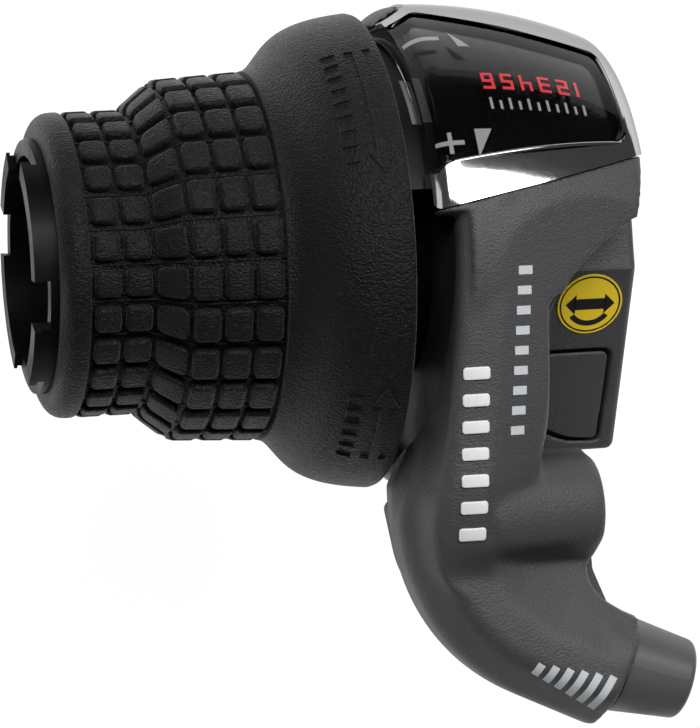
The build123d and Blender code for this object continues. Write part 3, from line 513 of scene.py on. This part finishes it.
def sleeve_profile(depth):
    """Closed outline (x, r) of the sleeve without its tread blocks."""
    left, right = RINGS[0] - RING_HALF, RINGS[-1] + RING_HALF
    handles = [Vector((SLEEVE_END + along, BORE_R + out)) for along, out in NOSE]
    points = [(SLEEVE_END, BORE_R)] + [tuple(p) for p in interpolate_bezier(*handles, 8)]
    points += [(left + along, NARROW_R + out) for along, out in BED_LIP]
    points += [(left, NARROW_R - depth), (CONE[0], NARROW_R - depth), (CONE[1], WIDE_R - depth)]
    points += [(right, SHOULDER_R - depth), (right, SHOULDER_R - SHOULDER_STEP[1])]
    points += [(p.x + SHOULDER_STEP[0], p.y) for p in flange_curve()]
    points += [(RIM[0] + along, RIM[1] + out) for along, out in RIM_LIP]
    points += [(RIM[0], BELL[1][1]), BELL[1], BELL[0]]
    return points


def turned(bm, points, steps):
    """Spins a closed outline (x, r) about the bar axis."""
    verts = [bm.verts.new(around(x, r, 0)) for x, r in points]
    edges = [bm.edges.new(pair) for pair in zip(verts, verts[1:] + verts[:1])]
    bmesh.ops.spin(
        bm, geom=verts + edges, cent=(0, 0, 0), axis=(1, 0, 0), angle=math.tau, steps=steps,
        use_merge=True)


def rounded_box(bm, size, corner, edge):
    """Box standing on z 0 with rounded upright corners and rounded top edges; returns its vertices."""
    made = bmesh.ops.create_cube(bm, size=1.0)["verts"]
    bmesh.ops.translate(bm, verts=made, vec=(0, 0, 0.5))
    bmesh.ops.scale(bm, verts=made, vec=size)
    faces = {f for v in made for f in v.link_faces}
    upright = {e for f in faces for e in f.edges if abs(e.verts[0].co.z - e.verts[1].co.z) > size[2] / 2}
    out = bmesh.ops.bevel(
        bm, geom=list(upright), offset=corner, offset_type="OFFSET", segments=ROUND_STEPS, profile=0.5,
        affect="EDGES", material=-1)
    verts = {v for f in faces | set(out["faces"]) if f.is_valid for v in f.verts}
    top = [f for v in verts for f in v.link_faces if f.normal.z > 0.9]
    rim = {e for f in top for e in f.edges}
    out = bmesh.ops.bevel(
        bm, geom=list(rim), offset=edge, offset_type="OFFSET", segments=ROUND_STEPS, profile=0.5,
        affect="EDGES", material=-1)
    verts = {v for v in verts if v.is_valid} | set(out["verts"])
    return list(verts)


def patch(bm, corners, wrap, low, high, steps=(4, 4)):
    """Thin tile over a curved surface: corners (a, b) in loop order, carried there by wrap(a, b, h)."""
    p00, p10, p11, p01 = (Vector(c) for c in corners)
    layers = []
    for h in (low, high):
        rows = []
        for i in range(steps[0] + 1):
            s = i / steps[0]
            start, end = p00.lerp(p10, s), p01.lerp(p11, s)
            points = [start.lerp(end, j / steps[1]) for j in range(steps[1] + 1)]
            rows.append([bm.verts.new(wrap(*point, h)) for point in points])
        layers.append(rows)
    for rows in layers:
        for a, b in zip(rows, rows[1:]):
            for j in range(steps[1]):
                bm.faces.new((a[j], b[j], b[j + 1], a[j + 1]))
    loops = []
    for rows in layers:
        near, far = [r[0] for r in rows], [r[-1] for r in rows[-2::-1]]
        loops.append(near + rows[-1][1:] + far + rows[0][-2:0:-1])
    for k in range(len(loops[0])):
        bm.faces.new((loops[0][k - 1], loops[0][k], loops[1][k], loops[1][k - 1]))


def bar(a0, a1, b0, b1):
    """Corners of an upright rectangle."""
    return (a0, b0), (a1, b0), (a1, b1), (a0, b1)


def on_dome(x, phi, h):
    """Point at a height h over the window dome."""
    return around(x, dome_radius(x) + h, math.radians(phi))


def on_flange(x, phi, h):
    """Point at a height h over the flange."""
    return around(x, flange_radius(x) + h, math.radians(phi))


def on_ring(x, phi, h):
    """Point at a height h over the indicator ring."""
    return around(x, RING_R + h, math.radians(phi))


def on_label(x, y, h):
    """Local plan of the lug's top face, tilted about the bar."""
    return Matrix.Rotation(math.radians(LUG_TILT), 3, "X") @ Vector((x, y + LABEL_Y, LABEL_Z + h)) * MM


class SHIFTER_OT_rubber_sleeve(bpy.types.Operator):
    """Rubber sleeve with its grid of rounded tread blocks and the flared flange"""
    bl_idname = "shifter.rubber_sleeve"
    bl_label = "Rubber Sleeve"

    def execute(self, context):
        s = settings().sleeve
        depth, slot, ring = s.depth / MM, s.slot / MM, s.ring / MM
        bm = bmesh.new()
        groove_shade = bm.verts.layers.float.new("groove_shade")
        turned(bm, sleeve_profile(depth), s.rows * ROW_STEPS)
        pitch = math.tau / s.rows
        for x0, x1 in zip(RINGS, RINGS[1:]):
            middle = tread_radius((x0 + x1) / 2)
            width = pitch * middle - slot
            block = rounded_box(bm, (x1 - x0 - ring, width, depth + SINK), s.corner / MM, s.edge / MM)
            for v in block:
                x = (x0 + x1) / 2 + v.co.x
                r = tread_radius(x)
                angle = v.co.y / width * (pitch - slot / r) + s.phase
                v.co = around(x, r - depth - SINK + v.co.z, angle)
            geom = list({f for v in block for f in v.link_faces})
            for i in range(1, s.rows):
                copied = bmesh.ops.duplicate(bm, geom=geom)["geom"]
                moved = [g for g in copied if isinstance(g, bmesh.types.BMVert)]
                turn = Matrix.Rotation(pitch * i, 3, "X")
                bmesh.ops.rotate(bm, verts=moved, cent=(0, 0, 0), matrix=turn)
        # Painted shade mask: each vertex of the tread gets a share that grows with its depth below the
        # block tops
        for v in bm.verts:
            x, y, z = v.co / MM
            if RINGS[0] - GROOVE_SHADE_REACH < x < RINGS[-1] + GROOVE_SHADE_REACH:
                below = (tread_radius(x) - math.hypot(y, z)) / depth
                v[groove_shade] = min(max(below - GROOVE_SHADE_START, 0), 1)

        def in_slot(x, phi, h):
            return around(x, tread_radius(x) - depth + h, math.radians(phi))

        for i in range(s.rows):
            web = math.degrees(s.phase + pitch * (i + 0.5))
            corners = bar(RINGS[0], RINGS[-1], web - SLOT_WEB_HALF, web + SLOT_WEB_HALF)
            patch(bm, corners, in_slot, -SINK, SLOT_WEB_RISE, (20, 1))
        finish_piece(bm, "rubber_sleeve", "grip", rubber(), ["grip_rubber"])
        return {"FINISHED"}


def twist_arrow(phi0, phi1):
    """Corners of a plain double-headed arrow around the bar."""
    x, left, right = ARROW_X, ARROW_X - ARROW_HEAD, ARROW_X + ARROW_HEAD
    return [
        bar(x - ARROW_WIDTH / 2, x + ARROW_WIDTH / 2, phi0 + ARROW_POINT, phi1 - ARROW_POINT),
        ((x, phi0), (x, phi0), (right, phi0 + ARROW_BARB), (left, phi0 + ARROW_BARB)),
        ((x, phi1), (x, phi1), (right, phi1 - ARROW_BARB), (left, phi1 - ARROW_BARB))]


class SHIFTER_OT_twist_marks(bpy.types.Operator):
    """Raised arrows and ribs moulded on the flange"""
    bl_idname = "shifter.twist_marks"
    bl_label = "Twist Marks"

    def execute(self, context):
        bm = bmesh.new()
        for phi0, phi1 in MARK_SPANS:
            for corners in twist_arrow(phi0, phi1):
                patch(bm, corners, on_flange, *RELIEF, (4, 14))
            ribs = int((phi1 - phi0) / RIB_PITCH)
            for i in range(1, ribs):
                phi = phi0 + (phi1 - phi0) * i / ribs
                patch(bm, bar(*RIB_X, phi - RIB_HALF, phi + RIB_HALF), on_flange, *RELIEF, (4, 2))
        finish_piece(bm, "twist_marks", "grip", rubber())
        return {"FINISHED"}


class SHIFTER_OT_grip_core(bpy.types.Operator):
    """Gloss core, the inner parts around it and the pale tile of the indicator ring"""
    bl_idname = "shifter.grip_core"
    bl_label = "Grip Core"

    def execute(self, context):
        dress(material("Polished_nylon", gloss_plastic, srgb("0b0b0c"), 0.4, 0.1), "grip_core")
        dress(material("Acetal_inner", gloss_plastic, srgb("333335"), 0.4),
              "cable_drum", "drum_cover", "thrust_washer", "cable_guide")
        dress(material("Acetal_black", gloss_plastic, srgb("121213"), 0.45, 0.2), "indicator_ring")
        tile = bmesh.new()
        patch(tile, bar(*TILE), on_ring, *TILE_INK, (4, 10))
        ink = material("Pale_ink", printed_ink, srgb("7c7c78"))
        finish_piece(tile, "indicator_tile", "grip", ink)
        return {"FINISHED"}


def bezel_edge(x):
    """Plan height of the bezel's lower edge."""
    for (x0, y0), (x1, y1) in zip(BEZEL_LINE, BEZEL_LINE[1:]):
        if x <= x1:
            return y0 + (y1 - y0) * (x - x0) / (x1 - x0)
    return BEZEL_LINE[-1][1]


def softness(co):
    """How far the housing is rounded at a point: 0 on fits, 1 on edges, 2 where shapes melt together."""
    x, y, z = co / MM
    if z < ARM_BASE + FIT_MARGIN or y > bezel_edge(x) - FIT_MARGIN:
        return 0
    if math.hypot(y, z) < CAVITY_R + CAVITY_MARGIN:
        return 0
    out = Vector((x, y, z)) - Vector(OUTLET)
    along = out.dot(Vector(OUTLET_AXIS))
    if along > OUTLET_START and (out - along * Vector(OUTLET_AXIS)).length < OUTLET_R:
        return 0
    return 2 if y < MELT_Y and z > MELT_Z else 1


def facet_height(x, y):
    """Height of the elbow's inner facet: level up to the ridge, then falling away from it."""
    nearest = (math.inf, 0.0)
    for a, b in zip(RIDGE, RIDGE[1:]):
        a, b, p = Vector(a), Vector(b), Vector((x, y))
        run = (b - a).normalized()
        foot = a + run * min(max((p - a).dot(run), 0), (b - a).length)
        inward = run.x * (p - foot).y - run.y * (p - foot).x
        nearest = min(nearest, ((p - foot).length, inward))
    gap, inward = nearest
    return RIDGE_Z - RIDGE_FALL * (gap if inward > 0 else 0)


def cut_facet(co):
    """Lowers a point of the elbow onto the facet, less and less towards the outlet."""
    x, y, z = co / MM
    along = (Vector((x, y, z)) - Vector(OUTLET)).dot(Vector(OUTLET_AXIS))
    start = min(max((FACET_Y - y) / FACET_BLEND, 0), 1)
    end = min(max((FACET_END - along) / FACET_FADE, 0), 1)
    return z - start * end * max(z - facet_height(x, y), 0)


def add_block(bm, plan, floor, tops):
    """Upright solid over a plan outline, with its own height at each corner."""
    low = [bm.verts.new(Vector((x, y, floor)) * MM) for x, y in plan]
    high = [bm.verts.new(Vector((x, y, top)) * MM) for (x, y), top in zip(plan, tops)]
    bm.faces.new(low[::-1])
    for k in range(len(low)):
        bm.faces.new((low[k - 1], low[k], high[k], high[k - 1]))
    bmesh.ops.triangulate(bm, faces=[bm.faces.new(high)])


def solid_copy(name):
    """Closed bmesh of a CAD node."""
    bm = bmesh.new()
    bm.from_mesh(frame["nodes"][name].data)
    bmesh.ops.remove_doubles(bm, verts=bm.verts, dist=MERGE)
    return bm


def evened(bm, voxel):
    """The same solid with small even faces, ready for smoothing."""
    bmesh.ops.recalc_face_normals(bm, faces=bm.faces)
    mesh = bpy.data.meshes.new("block")
    bm.to_mesh(mesh)
    bm.free()
    block = bpy.data.objects.new("block", mesh)
    bpy.context.scene.collection.objects.link(block)
    even = block.modifiers.new("Even", "REMESH")
    even.mode = "VOXEL"
    even.voxel_size = voxel
    out = bmesh.new()
    out.from_object(block, bpy.context.evaluated_depsgraph_get())
    bpy.data.objects.remove(block)
    return out


def smooth(bm, verts, rounds):
    """Evens out the vertices with their neighbours, a number of times."""
    for _ in range(rounds):
        bmesh.ops.smooth_vert(
            bm, verts=verts, factor=0.5, use_axis_x=True, use_axis_y=True, use_axis_z=True)


def skin_piece(bm, name, body, node_name, keep):
    """Finishes a smoothed solid as a skin in place of its CAD node, thinned to a share of its faces."""
    skin = finish_piece(
        bm, name, body, housing_plastic(), [node_name], crease=60.0)
    thin = skin.modifiers.new("Thin", "DECIMATE")
    thin.ratio = keep


class SHIFTER_OT_housing(bpy.types.Operator):
    """Moulded housing with its rounded edges, rear cover, clamp and outlet socket"""
    bl_idname = "shifter.housing"
    bl_label = "Housing"

    def execute(self, context):
        bm = solid_copy("main_housing")
        tops = [facet_height(x, y) - ELBOW_WEB_DROP for x, y in ELBOW_WEB]
        add_block(bm, ELBOW_WEB, ARM_BASE + ELBOW_WEB_FOOT, tops)
        add_block(bm, SHELF, SHELF_Z[0], [SHELF_Z[1]] * len(SHELF))
        bm = evened(bm, HOUSING_VOXEL * MM)
        for v in bm.verts:
            if v.co.y < FACET_Y * MM and v.co.z > FACET_LOW * MM:
                v.co.z = cut_facet(v.co) * MM
        edges = [v for v in bm.verts if softness(v.co) >= 1]
        smooth(bm, edges, EDGE_ROUNDS)
        smooth(bm, [v for v in edges if softness(v.co) == 2], MELT_ROUNDS)
        skin_piece(bm, "housing_skin", "housing", "main_housing", HOUSING_KEEP)
        for name, body, voxel in SMALL_SKINS:
            bm = evened(solid_copy(name), voxel * MM)
            smooth(bm, [v for v in bm.verts if v.co.z > 0], SMALL_ROUNDS)
            skin_piece(bm, name + "_skin", body, name, SMALL_KEEP)
        dress(housing_plastic(), "rear_cover")
        dress(material("Satin_nylon", gloss_plastic, srgb("525253"), 0.42), "casing_socket")
        return {"FINISHED"}


def drape(mesh_object):
    """Function that carries a plan point down onto an object."""
    tree = BVHTree.FromObject(mesh_object, bpy.context.evaluated_depsgraph_get())

    def wrap(x, y, h):
        hit, normal, _, _ = tree.ray_cast(Vector((x, y, DRAPE_FROM)) * MM, Vector((0, 0, -1)))
        return hit + normal * h * MM
    return wrap


class SHIFTER_OT_arm_marks(bpy.types.Operator):
    """White bars raised on the arm, a printed scale beside them and a printed mark by the outlet"""
    bl_idname = "shifter.arm_marks"
    bl_label = "Arm Marks"

    def execute(self, context):
        wrap = drape(bpy.data.objects["housing_skin"])
        raised = bmesh.new()
        for i in range(BAR_COUNT):
            x, y = (start + step * i for start, step in zip(BAR_START, BAR_STEP))
            for v in rounded_box(raised, BAR_SIZE, BAR_CORNER, BAR_EDGE):
                v.co = wrap(x + v.co.x, y + v.co.y, v.co.z - BAR_SEAT)
        ink = material("White_pad_print", printed_ink, settings().housing.print_colour)
        finish_piece(raised, "raised_bars", "housing", ink)
        scale = bmesh.new()
        half_x, half_y = DASH_HALF
        for i in range(DASH_COUNT):
            x, y = (start + step * i for start, step in zip(DASH_START, DASH_STEP))
            patch(scale, bar(x - half_x, x + half_x, y - half_y, y + half_y), wrap, *DASH_INK)
        along, across = Vector(FAN_ALONG), Vector(FAN_ACROSS)
        side = along * FAN_WIDTH
        for i in range(FAN_COUNT):
            foot = Vector(FAN_START) + along * FAN_PITCH * i
            reach = across * (FAN_FIRST + FAN_GROWTH * i)
            corners = foot, foot + side, foot + side + reach, foot + reach
            patch(scale, corners, wrap, *FAN_INK, (4, 14))
        ink = material("Grey_pad_print", printed_ink, srgb("d0d4d8"))
        finish_piece(scale, "printed_scale", "housing", ink)
        return {"FINISHED"}


def numeral(digit, right):
    """Plain stroke numeral on the dome, upright for the rider, whose right is towards -X."""
    left, top = right + NUMERAL_WIDTH, NUMERAL_PHI
    middle, foot = top + NUMERAL_HEIGHT / 2, top + NUMERAL_HEIGHT
    bars = {
        "a": bar(right, left, top, top + STROKE_PHI),
        "b": bar(right, right + STROKE_X, top, middle),
        "c": bar(right, right + STROKE_X, middle, foot),
        "d": bar(right, left, foot - STROKE_PHI, foot),
        "e": bar(left - STROKE_X, left, middle, foot),
        "f": bar(left - STROKE_X, left, top, middle),
        "g": bar(right, left, middle - STROKE_PHI / 2, middle + STROKE_PHI / 2)}
    return [bars[stroke] for stroke in STROKES[digit]]


def lip(bm):
    """Fine bead around the window, on the line between lens and bezel, with its corners rounded."""
    line = [Vector((x, math.asin(y / dome_radius(x)) * DOME_R)) for x, y in LENS_LINE]
    path = [line[0]]
    for before, at, after in zip(line, line[1:], line[2:]):
        back, on = (before - at).normalized(), (after - at).normalized()
        path += [at + back * BEAD_CORNER, at, at + on * BEAD_CORNER]
    path.append(line[-1])
    for _ in range(BEAD_CUTS):
        cut = [path[0]]
        for a, b in zip(path, path[1:]):
            cut += [a.lerp(b, BEAD_CUT), a.lerp(b, 1 - BEAD_CUT)]
        path = [*cut, path[-1]]
    rows = []
    for before, at, after in zip(path, path[1:], path[2:]):
        side = Vector((before.y - after.y, after.x - before.x)).normalized()
        row = []
        for k in range(BEAD_POINTS):
            turn = math.pi * k / (BEAD_POINTS - 1)
            x, arc = at + side * (BEAD_SIDE - BEAD_HALF * math.cos(turn))
            height = BEAD_RISE * math.sin(turn) - BEAD_SEAT
            row.append(bm.verts.new(on_dome(x, math.degrees(arc / DOME_R), height)))
        rows.append(row)
    for a, b in zip(rows, rows[1:]):
        for k in range(len(a)):
            bm.faces.new((a[k - 1], b[k - 1], b[k], a[k]))
    bm.faces.new(rows[0])
    bm.faces.new(rows[-1])


class SHIFTER_OT_window(bpy.types.Operator):
    """Plated bezel with its bead, smoked lens, black display and printed signs and numerals"""
    bl_idname = "shifter.window"
    bl_label = "Gear Window"

    def execute(self, context):
        look = settings().window
        chrome = material("Plated_chrome", plated_chrome, look.chrome)
        dress(chrome, "bezel")
        bead = bmesh.new()
        lip(bead)
        finish_piece(bead, "window_lip", "housing", chrome)
        dress(material("Smoked_acrylic", smoked_lens), "window_lens")
        dress(material("Gloss_display", gloss_plastic, srgb("070707"), 0.2), "display_plate")
        signs = bmesh.new()
        for sign, steps in ((MINUS, (12, 2)), (PLUS_ACROSS, (12, 2)), (PLUS_UPRIGHT, (2, 6))):
            patch(signs, bar(*sign), on_dome, *GLOSS_INK, steps)
        for corners in POINTERS:
            patch(signs, corners, on_dome, *GLOSS_INK)
        for i in range(TICK_COUNT):
            x = TICK_X + TICK_PITCH * i
            end = TICK_SHORT if i % 2 else TICK_LONG
            patch(signs, bar(x - TICK_HALF, x + TICK_HALF, TICK_FOOT, end), on_dome, *GLOSS_INK, (2, 3))
        ink = material("Grey_gloss_ink", printed_ink, look.signs, 0.15)
        finish_piece(signs, "window_signs", "housing", ink)
        row = bmesh.new()
        for i, digit in enumerate(NUMERALS):
            for corners in numeral(digit, NUMERAL_X + NUMERAL_PITCH * i):
                patch(row, corners, on_dome, *GLOSS_INK)
        ink = material("Red_gloss_ink", printed_ink, look.numerals, 0.15)
        finish_piece(row, "window_numerals", "housing", ink)
        return {"FINISHED"}


class SHIFTER_OT_fittings(bpy.types.Operator):
    """Steel band, bolt, nut, screws, retaining ring and index spring"""
    bl_idname = "shifter.fittings"
    bl_label = "Steel Fittings"

    def execute(self, context):
        dress(material("Zinc_plated_steel", zinc_steel), "retaining_ring", "index_spring", "spring_screw",
              "rear_cover_screws", "clamp_band", "clamp_bolt", "clamp_nut", "clamp_body_screws")
        return {"FINISHED"}


class SHIFTER_OT_label(bpy.types.Operator):
    """Round yellow label on the clamp's lug"""
    bl_idname = "shifter.label"
    bl_label = "Round Label"

    def execute(self, context):
        dress(material("Yellow_film", printed_ink, settings().housing.label_colour, 0.35), "round_label")
        sign = bmesh.new()
        for start in range(0, 360, 30):
            self.sector(sign, LABEL_LINE, (start, start + 30))
        self.sector(sign, LABEL_ARC, LABEL_ARC_SPAN)
        patch(sign, bar(*LABEL_SHAFT), on_label, *LABEL_INK)
        for side in (1, -1):
            tip, head = (LABEL_TIP * side, 0), LABEL_HEAD * side
            corners = tip, tip, (head, LABEL_HEAD_HALF), (head, -LABEL_HEAD_HALF)
            patch(sign, corners, on_label, *LABEL_INK)
        ink = material("Black_ink", printed_ink, srgb("1c1c1c"))
        finish_piece(sign, "label_sign", "housing", ink)
        return {"FINISHED"}

    def sector(self, bm, radii, span):
        """Part of a flat ring on the label."""
        def wrap(r, degrees, h):
            a = math.radians(degrees)
            return on_label(r * math.cos(a), r * math.sin(a), h)
        patch(bm, bar(*radii, *span), wrap, *LABEL_INK, (1, 12))


class SHIFTER_OT_stage(bpy.types.Operator):
    """Pale floor, soft lamps, sky and camera"""
    bl_idname = "shifter.stage"
    bl_label = "Studio"

    def execute(self, context):
        s = settings().stage
        low, high = CAD_BOX
        centre = (low + high) / 2
        self.floor(low.z - s.floor_gap, centre)
        self.lamp("Key_softbox", centre, KEY_PLACE, KEY_SIZE, s.key)
        self.lamp("End_softbox", centre, END_PLACE, END_SIZE, s.end)
        self.sky(context.scene)
        self.camera(context.scene)
        context.scene.view_settings.view_transform = "Standard"
        return {"FINISHED"}

    def floor(self, z, centre):
        """Matt floor that the camera, metal and glass see as a white backdrop, with the part's shadow."""
        bm = bmesh.new()
        bmesh.ops.create_grid(bm, x_segments=1, y_segments=1, size=FLOOR_SIZE)
        bmesh.ops.translate(bm, verts=bm.verts, vec=(centre.x, centre.y, z))
        mesh = bpy.data.meshes.new("floor")
        bm.to_mesh(mesh)
        bm.free()
        look, tree = blank_material("Pale_floor")
        path = node(tree, "ShaderNodeLightPath").outputs
        seen = node(tree, "ShaderNodeMath", {
            0: path["Is Camera Ray"], 1: path["Is Glossy Ray"]}, operation="MAXIMUM")
        seen = node(tree, "ShaderNodeMath", {
            0: seen.outputs["Value"], 1: path["Is Transmission Ray"]}, operation="MAXIMUM")
        share = node(tree, "ShaderNodeMath", {
            0: seen.outputs["Value"], 1: BACKDROP_SHARE}, operation="MULTIPLY")
        matt = node(tree, "ShaderNodeBsdfDiffuse", {"Color": srgb("f4f4f4")})
        glow = node(tree, "ShaderNodeEmission", {"Color": srgb("ffffff"), "Strength": BACKDROP_LEVEL})
        mix = node(tree, "ShaderNodeMixShader", {
            0: share.outputs["Value"], 1: matt.outputs["BSDF"], 2: glow.outputs["Emission"]})
        node(tree, "ShaderNodeOutputMaterial", {"Surface": mix.outputs["Shader"]})
        mesh.materials.append(look)
        floor = bpy.data.objects.new("floor", mesh)
        bpy.context.scene.collection.objects.link(floor)

    def lamp(self, name, target, offset, size, power):
        """Soft rectangular lamp that faces its target."""
        data = bpy.data.lights.new(name, "AREA")
        data.shape = "RECTANGLE"
        data.size, data.size_y = size
        data.energy = power
        lamp = bpy.data.objects.new(name, data)
        lamp.location = target + Vector(offset)
        lamp.rotation_euler = (-Vector(offset)).to_track_quat("-Z", "Y").to_euler()
        bpy.context.scene.collection.objects.link(lamp)

    def sky(self, scene):
        """Dim and even, white to the camera."""
        world = bpy.data.worlds.new("Studio")
        world.use_nodes = True
        tree = world.node_tree
        tree.nodes.clear()
        camera = node(tree, "ShaderNodeLightPath").outputs["Is Camera Ray"]
        level = node(tree, "ShaderNodeMath", {0: settings().stage.sky, 1: camera}, operation="MAXIMUM")
        glow = node(tree, "ShaderNodeBackground", {
            "Color": srgb("ffffff"), "Strength": level.outputs["Value"]})
        node(tree, "ShaderNodeOutputWorld", {"Surface": glow.outputs["Background"]})
        scene.world = world

    def camera(self, scene):
        """Camera over the part, turned about the picture's upright and its own axis."""
        yaw, roll = math.radians(CAMERA_YAW), math.radians(CAMERA_ROLL)
        right = Vector((math.cos(yaw) * math.cos(roll), -math.sin(roll), math.sin(yaw) * math.cos(roll)))
        up = Vector((math.cos(yaw) * math.sin(roll), math.cos(roll), math.sin(yaw) * math.sin(roll)))
        back = Vector((-math.sin(yaw), 0, math.cos(yaw)))
        place = Vector((CAMERA_CENTRE_X, 0, 0)) + back * CAMERA_DISTANCE
        place -= right * CAMERA_SHIFT[0] + up * CAMERA_SHIFT[1]
        data = bpy.data.cameras.new("Camera")
        data.sensor_width = SENSOR
        data.lens = SENSOR * FOCAL_PX / max(PICTURE)
        data.clip_start, data.clip_end = 0.01, 50.0
        camera = bpy.data.objects.new("Camera", data)
        turn = Matrix((right, up, back)).transposed()
        camera.matrix_world = Matrix.Translation(place * MM) @ turn.to_4x4()
        scene.collection.objects.link(camera)
        scene.camera = camera


PIECES = (
    SHIFTER_OT_rubber_sleeve, SHIFTER_OT_twist_marks, SHIFTER_OT_grip_core, SHIFTER_OT_housing,
    SHIFTER_OT_arm_marks, SHIFTER_OT_window, SHIFTER_OT_fittings, SHIFTER_OT_label, SHIFTER_OT_stage)


class ShifterSettings(bpy.types.PropertyGroup):
    """All that a user would change on the shifter."""
    sleeve: PointerProperty(type=SleeveSettings, name="Sleeve", description="Rubber sleeve")
    housing: PointerProperty(type=HousingSettings, name="Housing", description="Moulded housing")
    window: PointerProperty(type=WindowSettings, name="Window", description="Gear window")
    stage: PointerProperty(type=StageSettings, name="Studio", description="Floor and light")


class SHIFTER_PT_pieces(bpy.types.Panel):
    """Lists the pieces in the order in which they are made"""
    bl_idname = "SHIFTER_PT_pieces"
    bl_label = "Twist Grip Shifter"
    bl_space_type = "VIEW_3D"
    bl_region_type = "UI"
    bl_category = "Shifter"

    def draw(self, context):
        for piece in PIECES:
            self.layout.operator(piece.bl_idname)


CLASSES = (
    SleeveSettings, HousingSettings, WindowSettings, StageSettings, ShifterSettings, *PIECES,
    SHIFTER_PT_pieces)


def register():
    """Adds the operators, the panel and the settings."""
    for cls in CLASSES:
        bpy.utils.register_class(cls)
    bpy.types.Scene.shifter = PointerProperty(type=ShifterSettings)


def unregister():
    """Takes out what register() added."""
    del bpy.types.Scene.shifter
    for cls in reversed(CLASSES):
        bpy.utils.unregister_class(cls)


def main():
    """Builds every piece in order."""
    register()
    for piece in PIECES:
        group, name = piece.bl_idname.split(".")
        getattr(getattr(bpy.ops, group), name)()


if __name__ == "__main__":
    main()
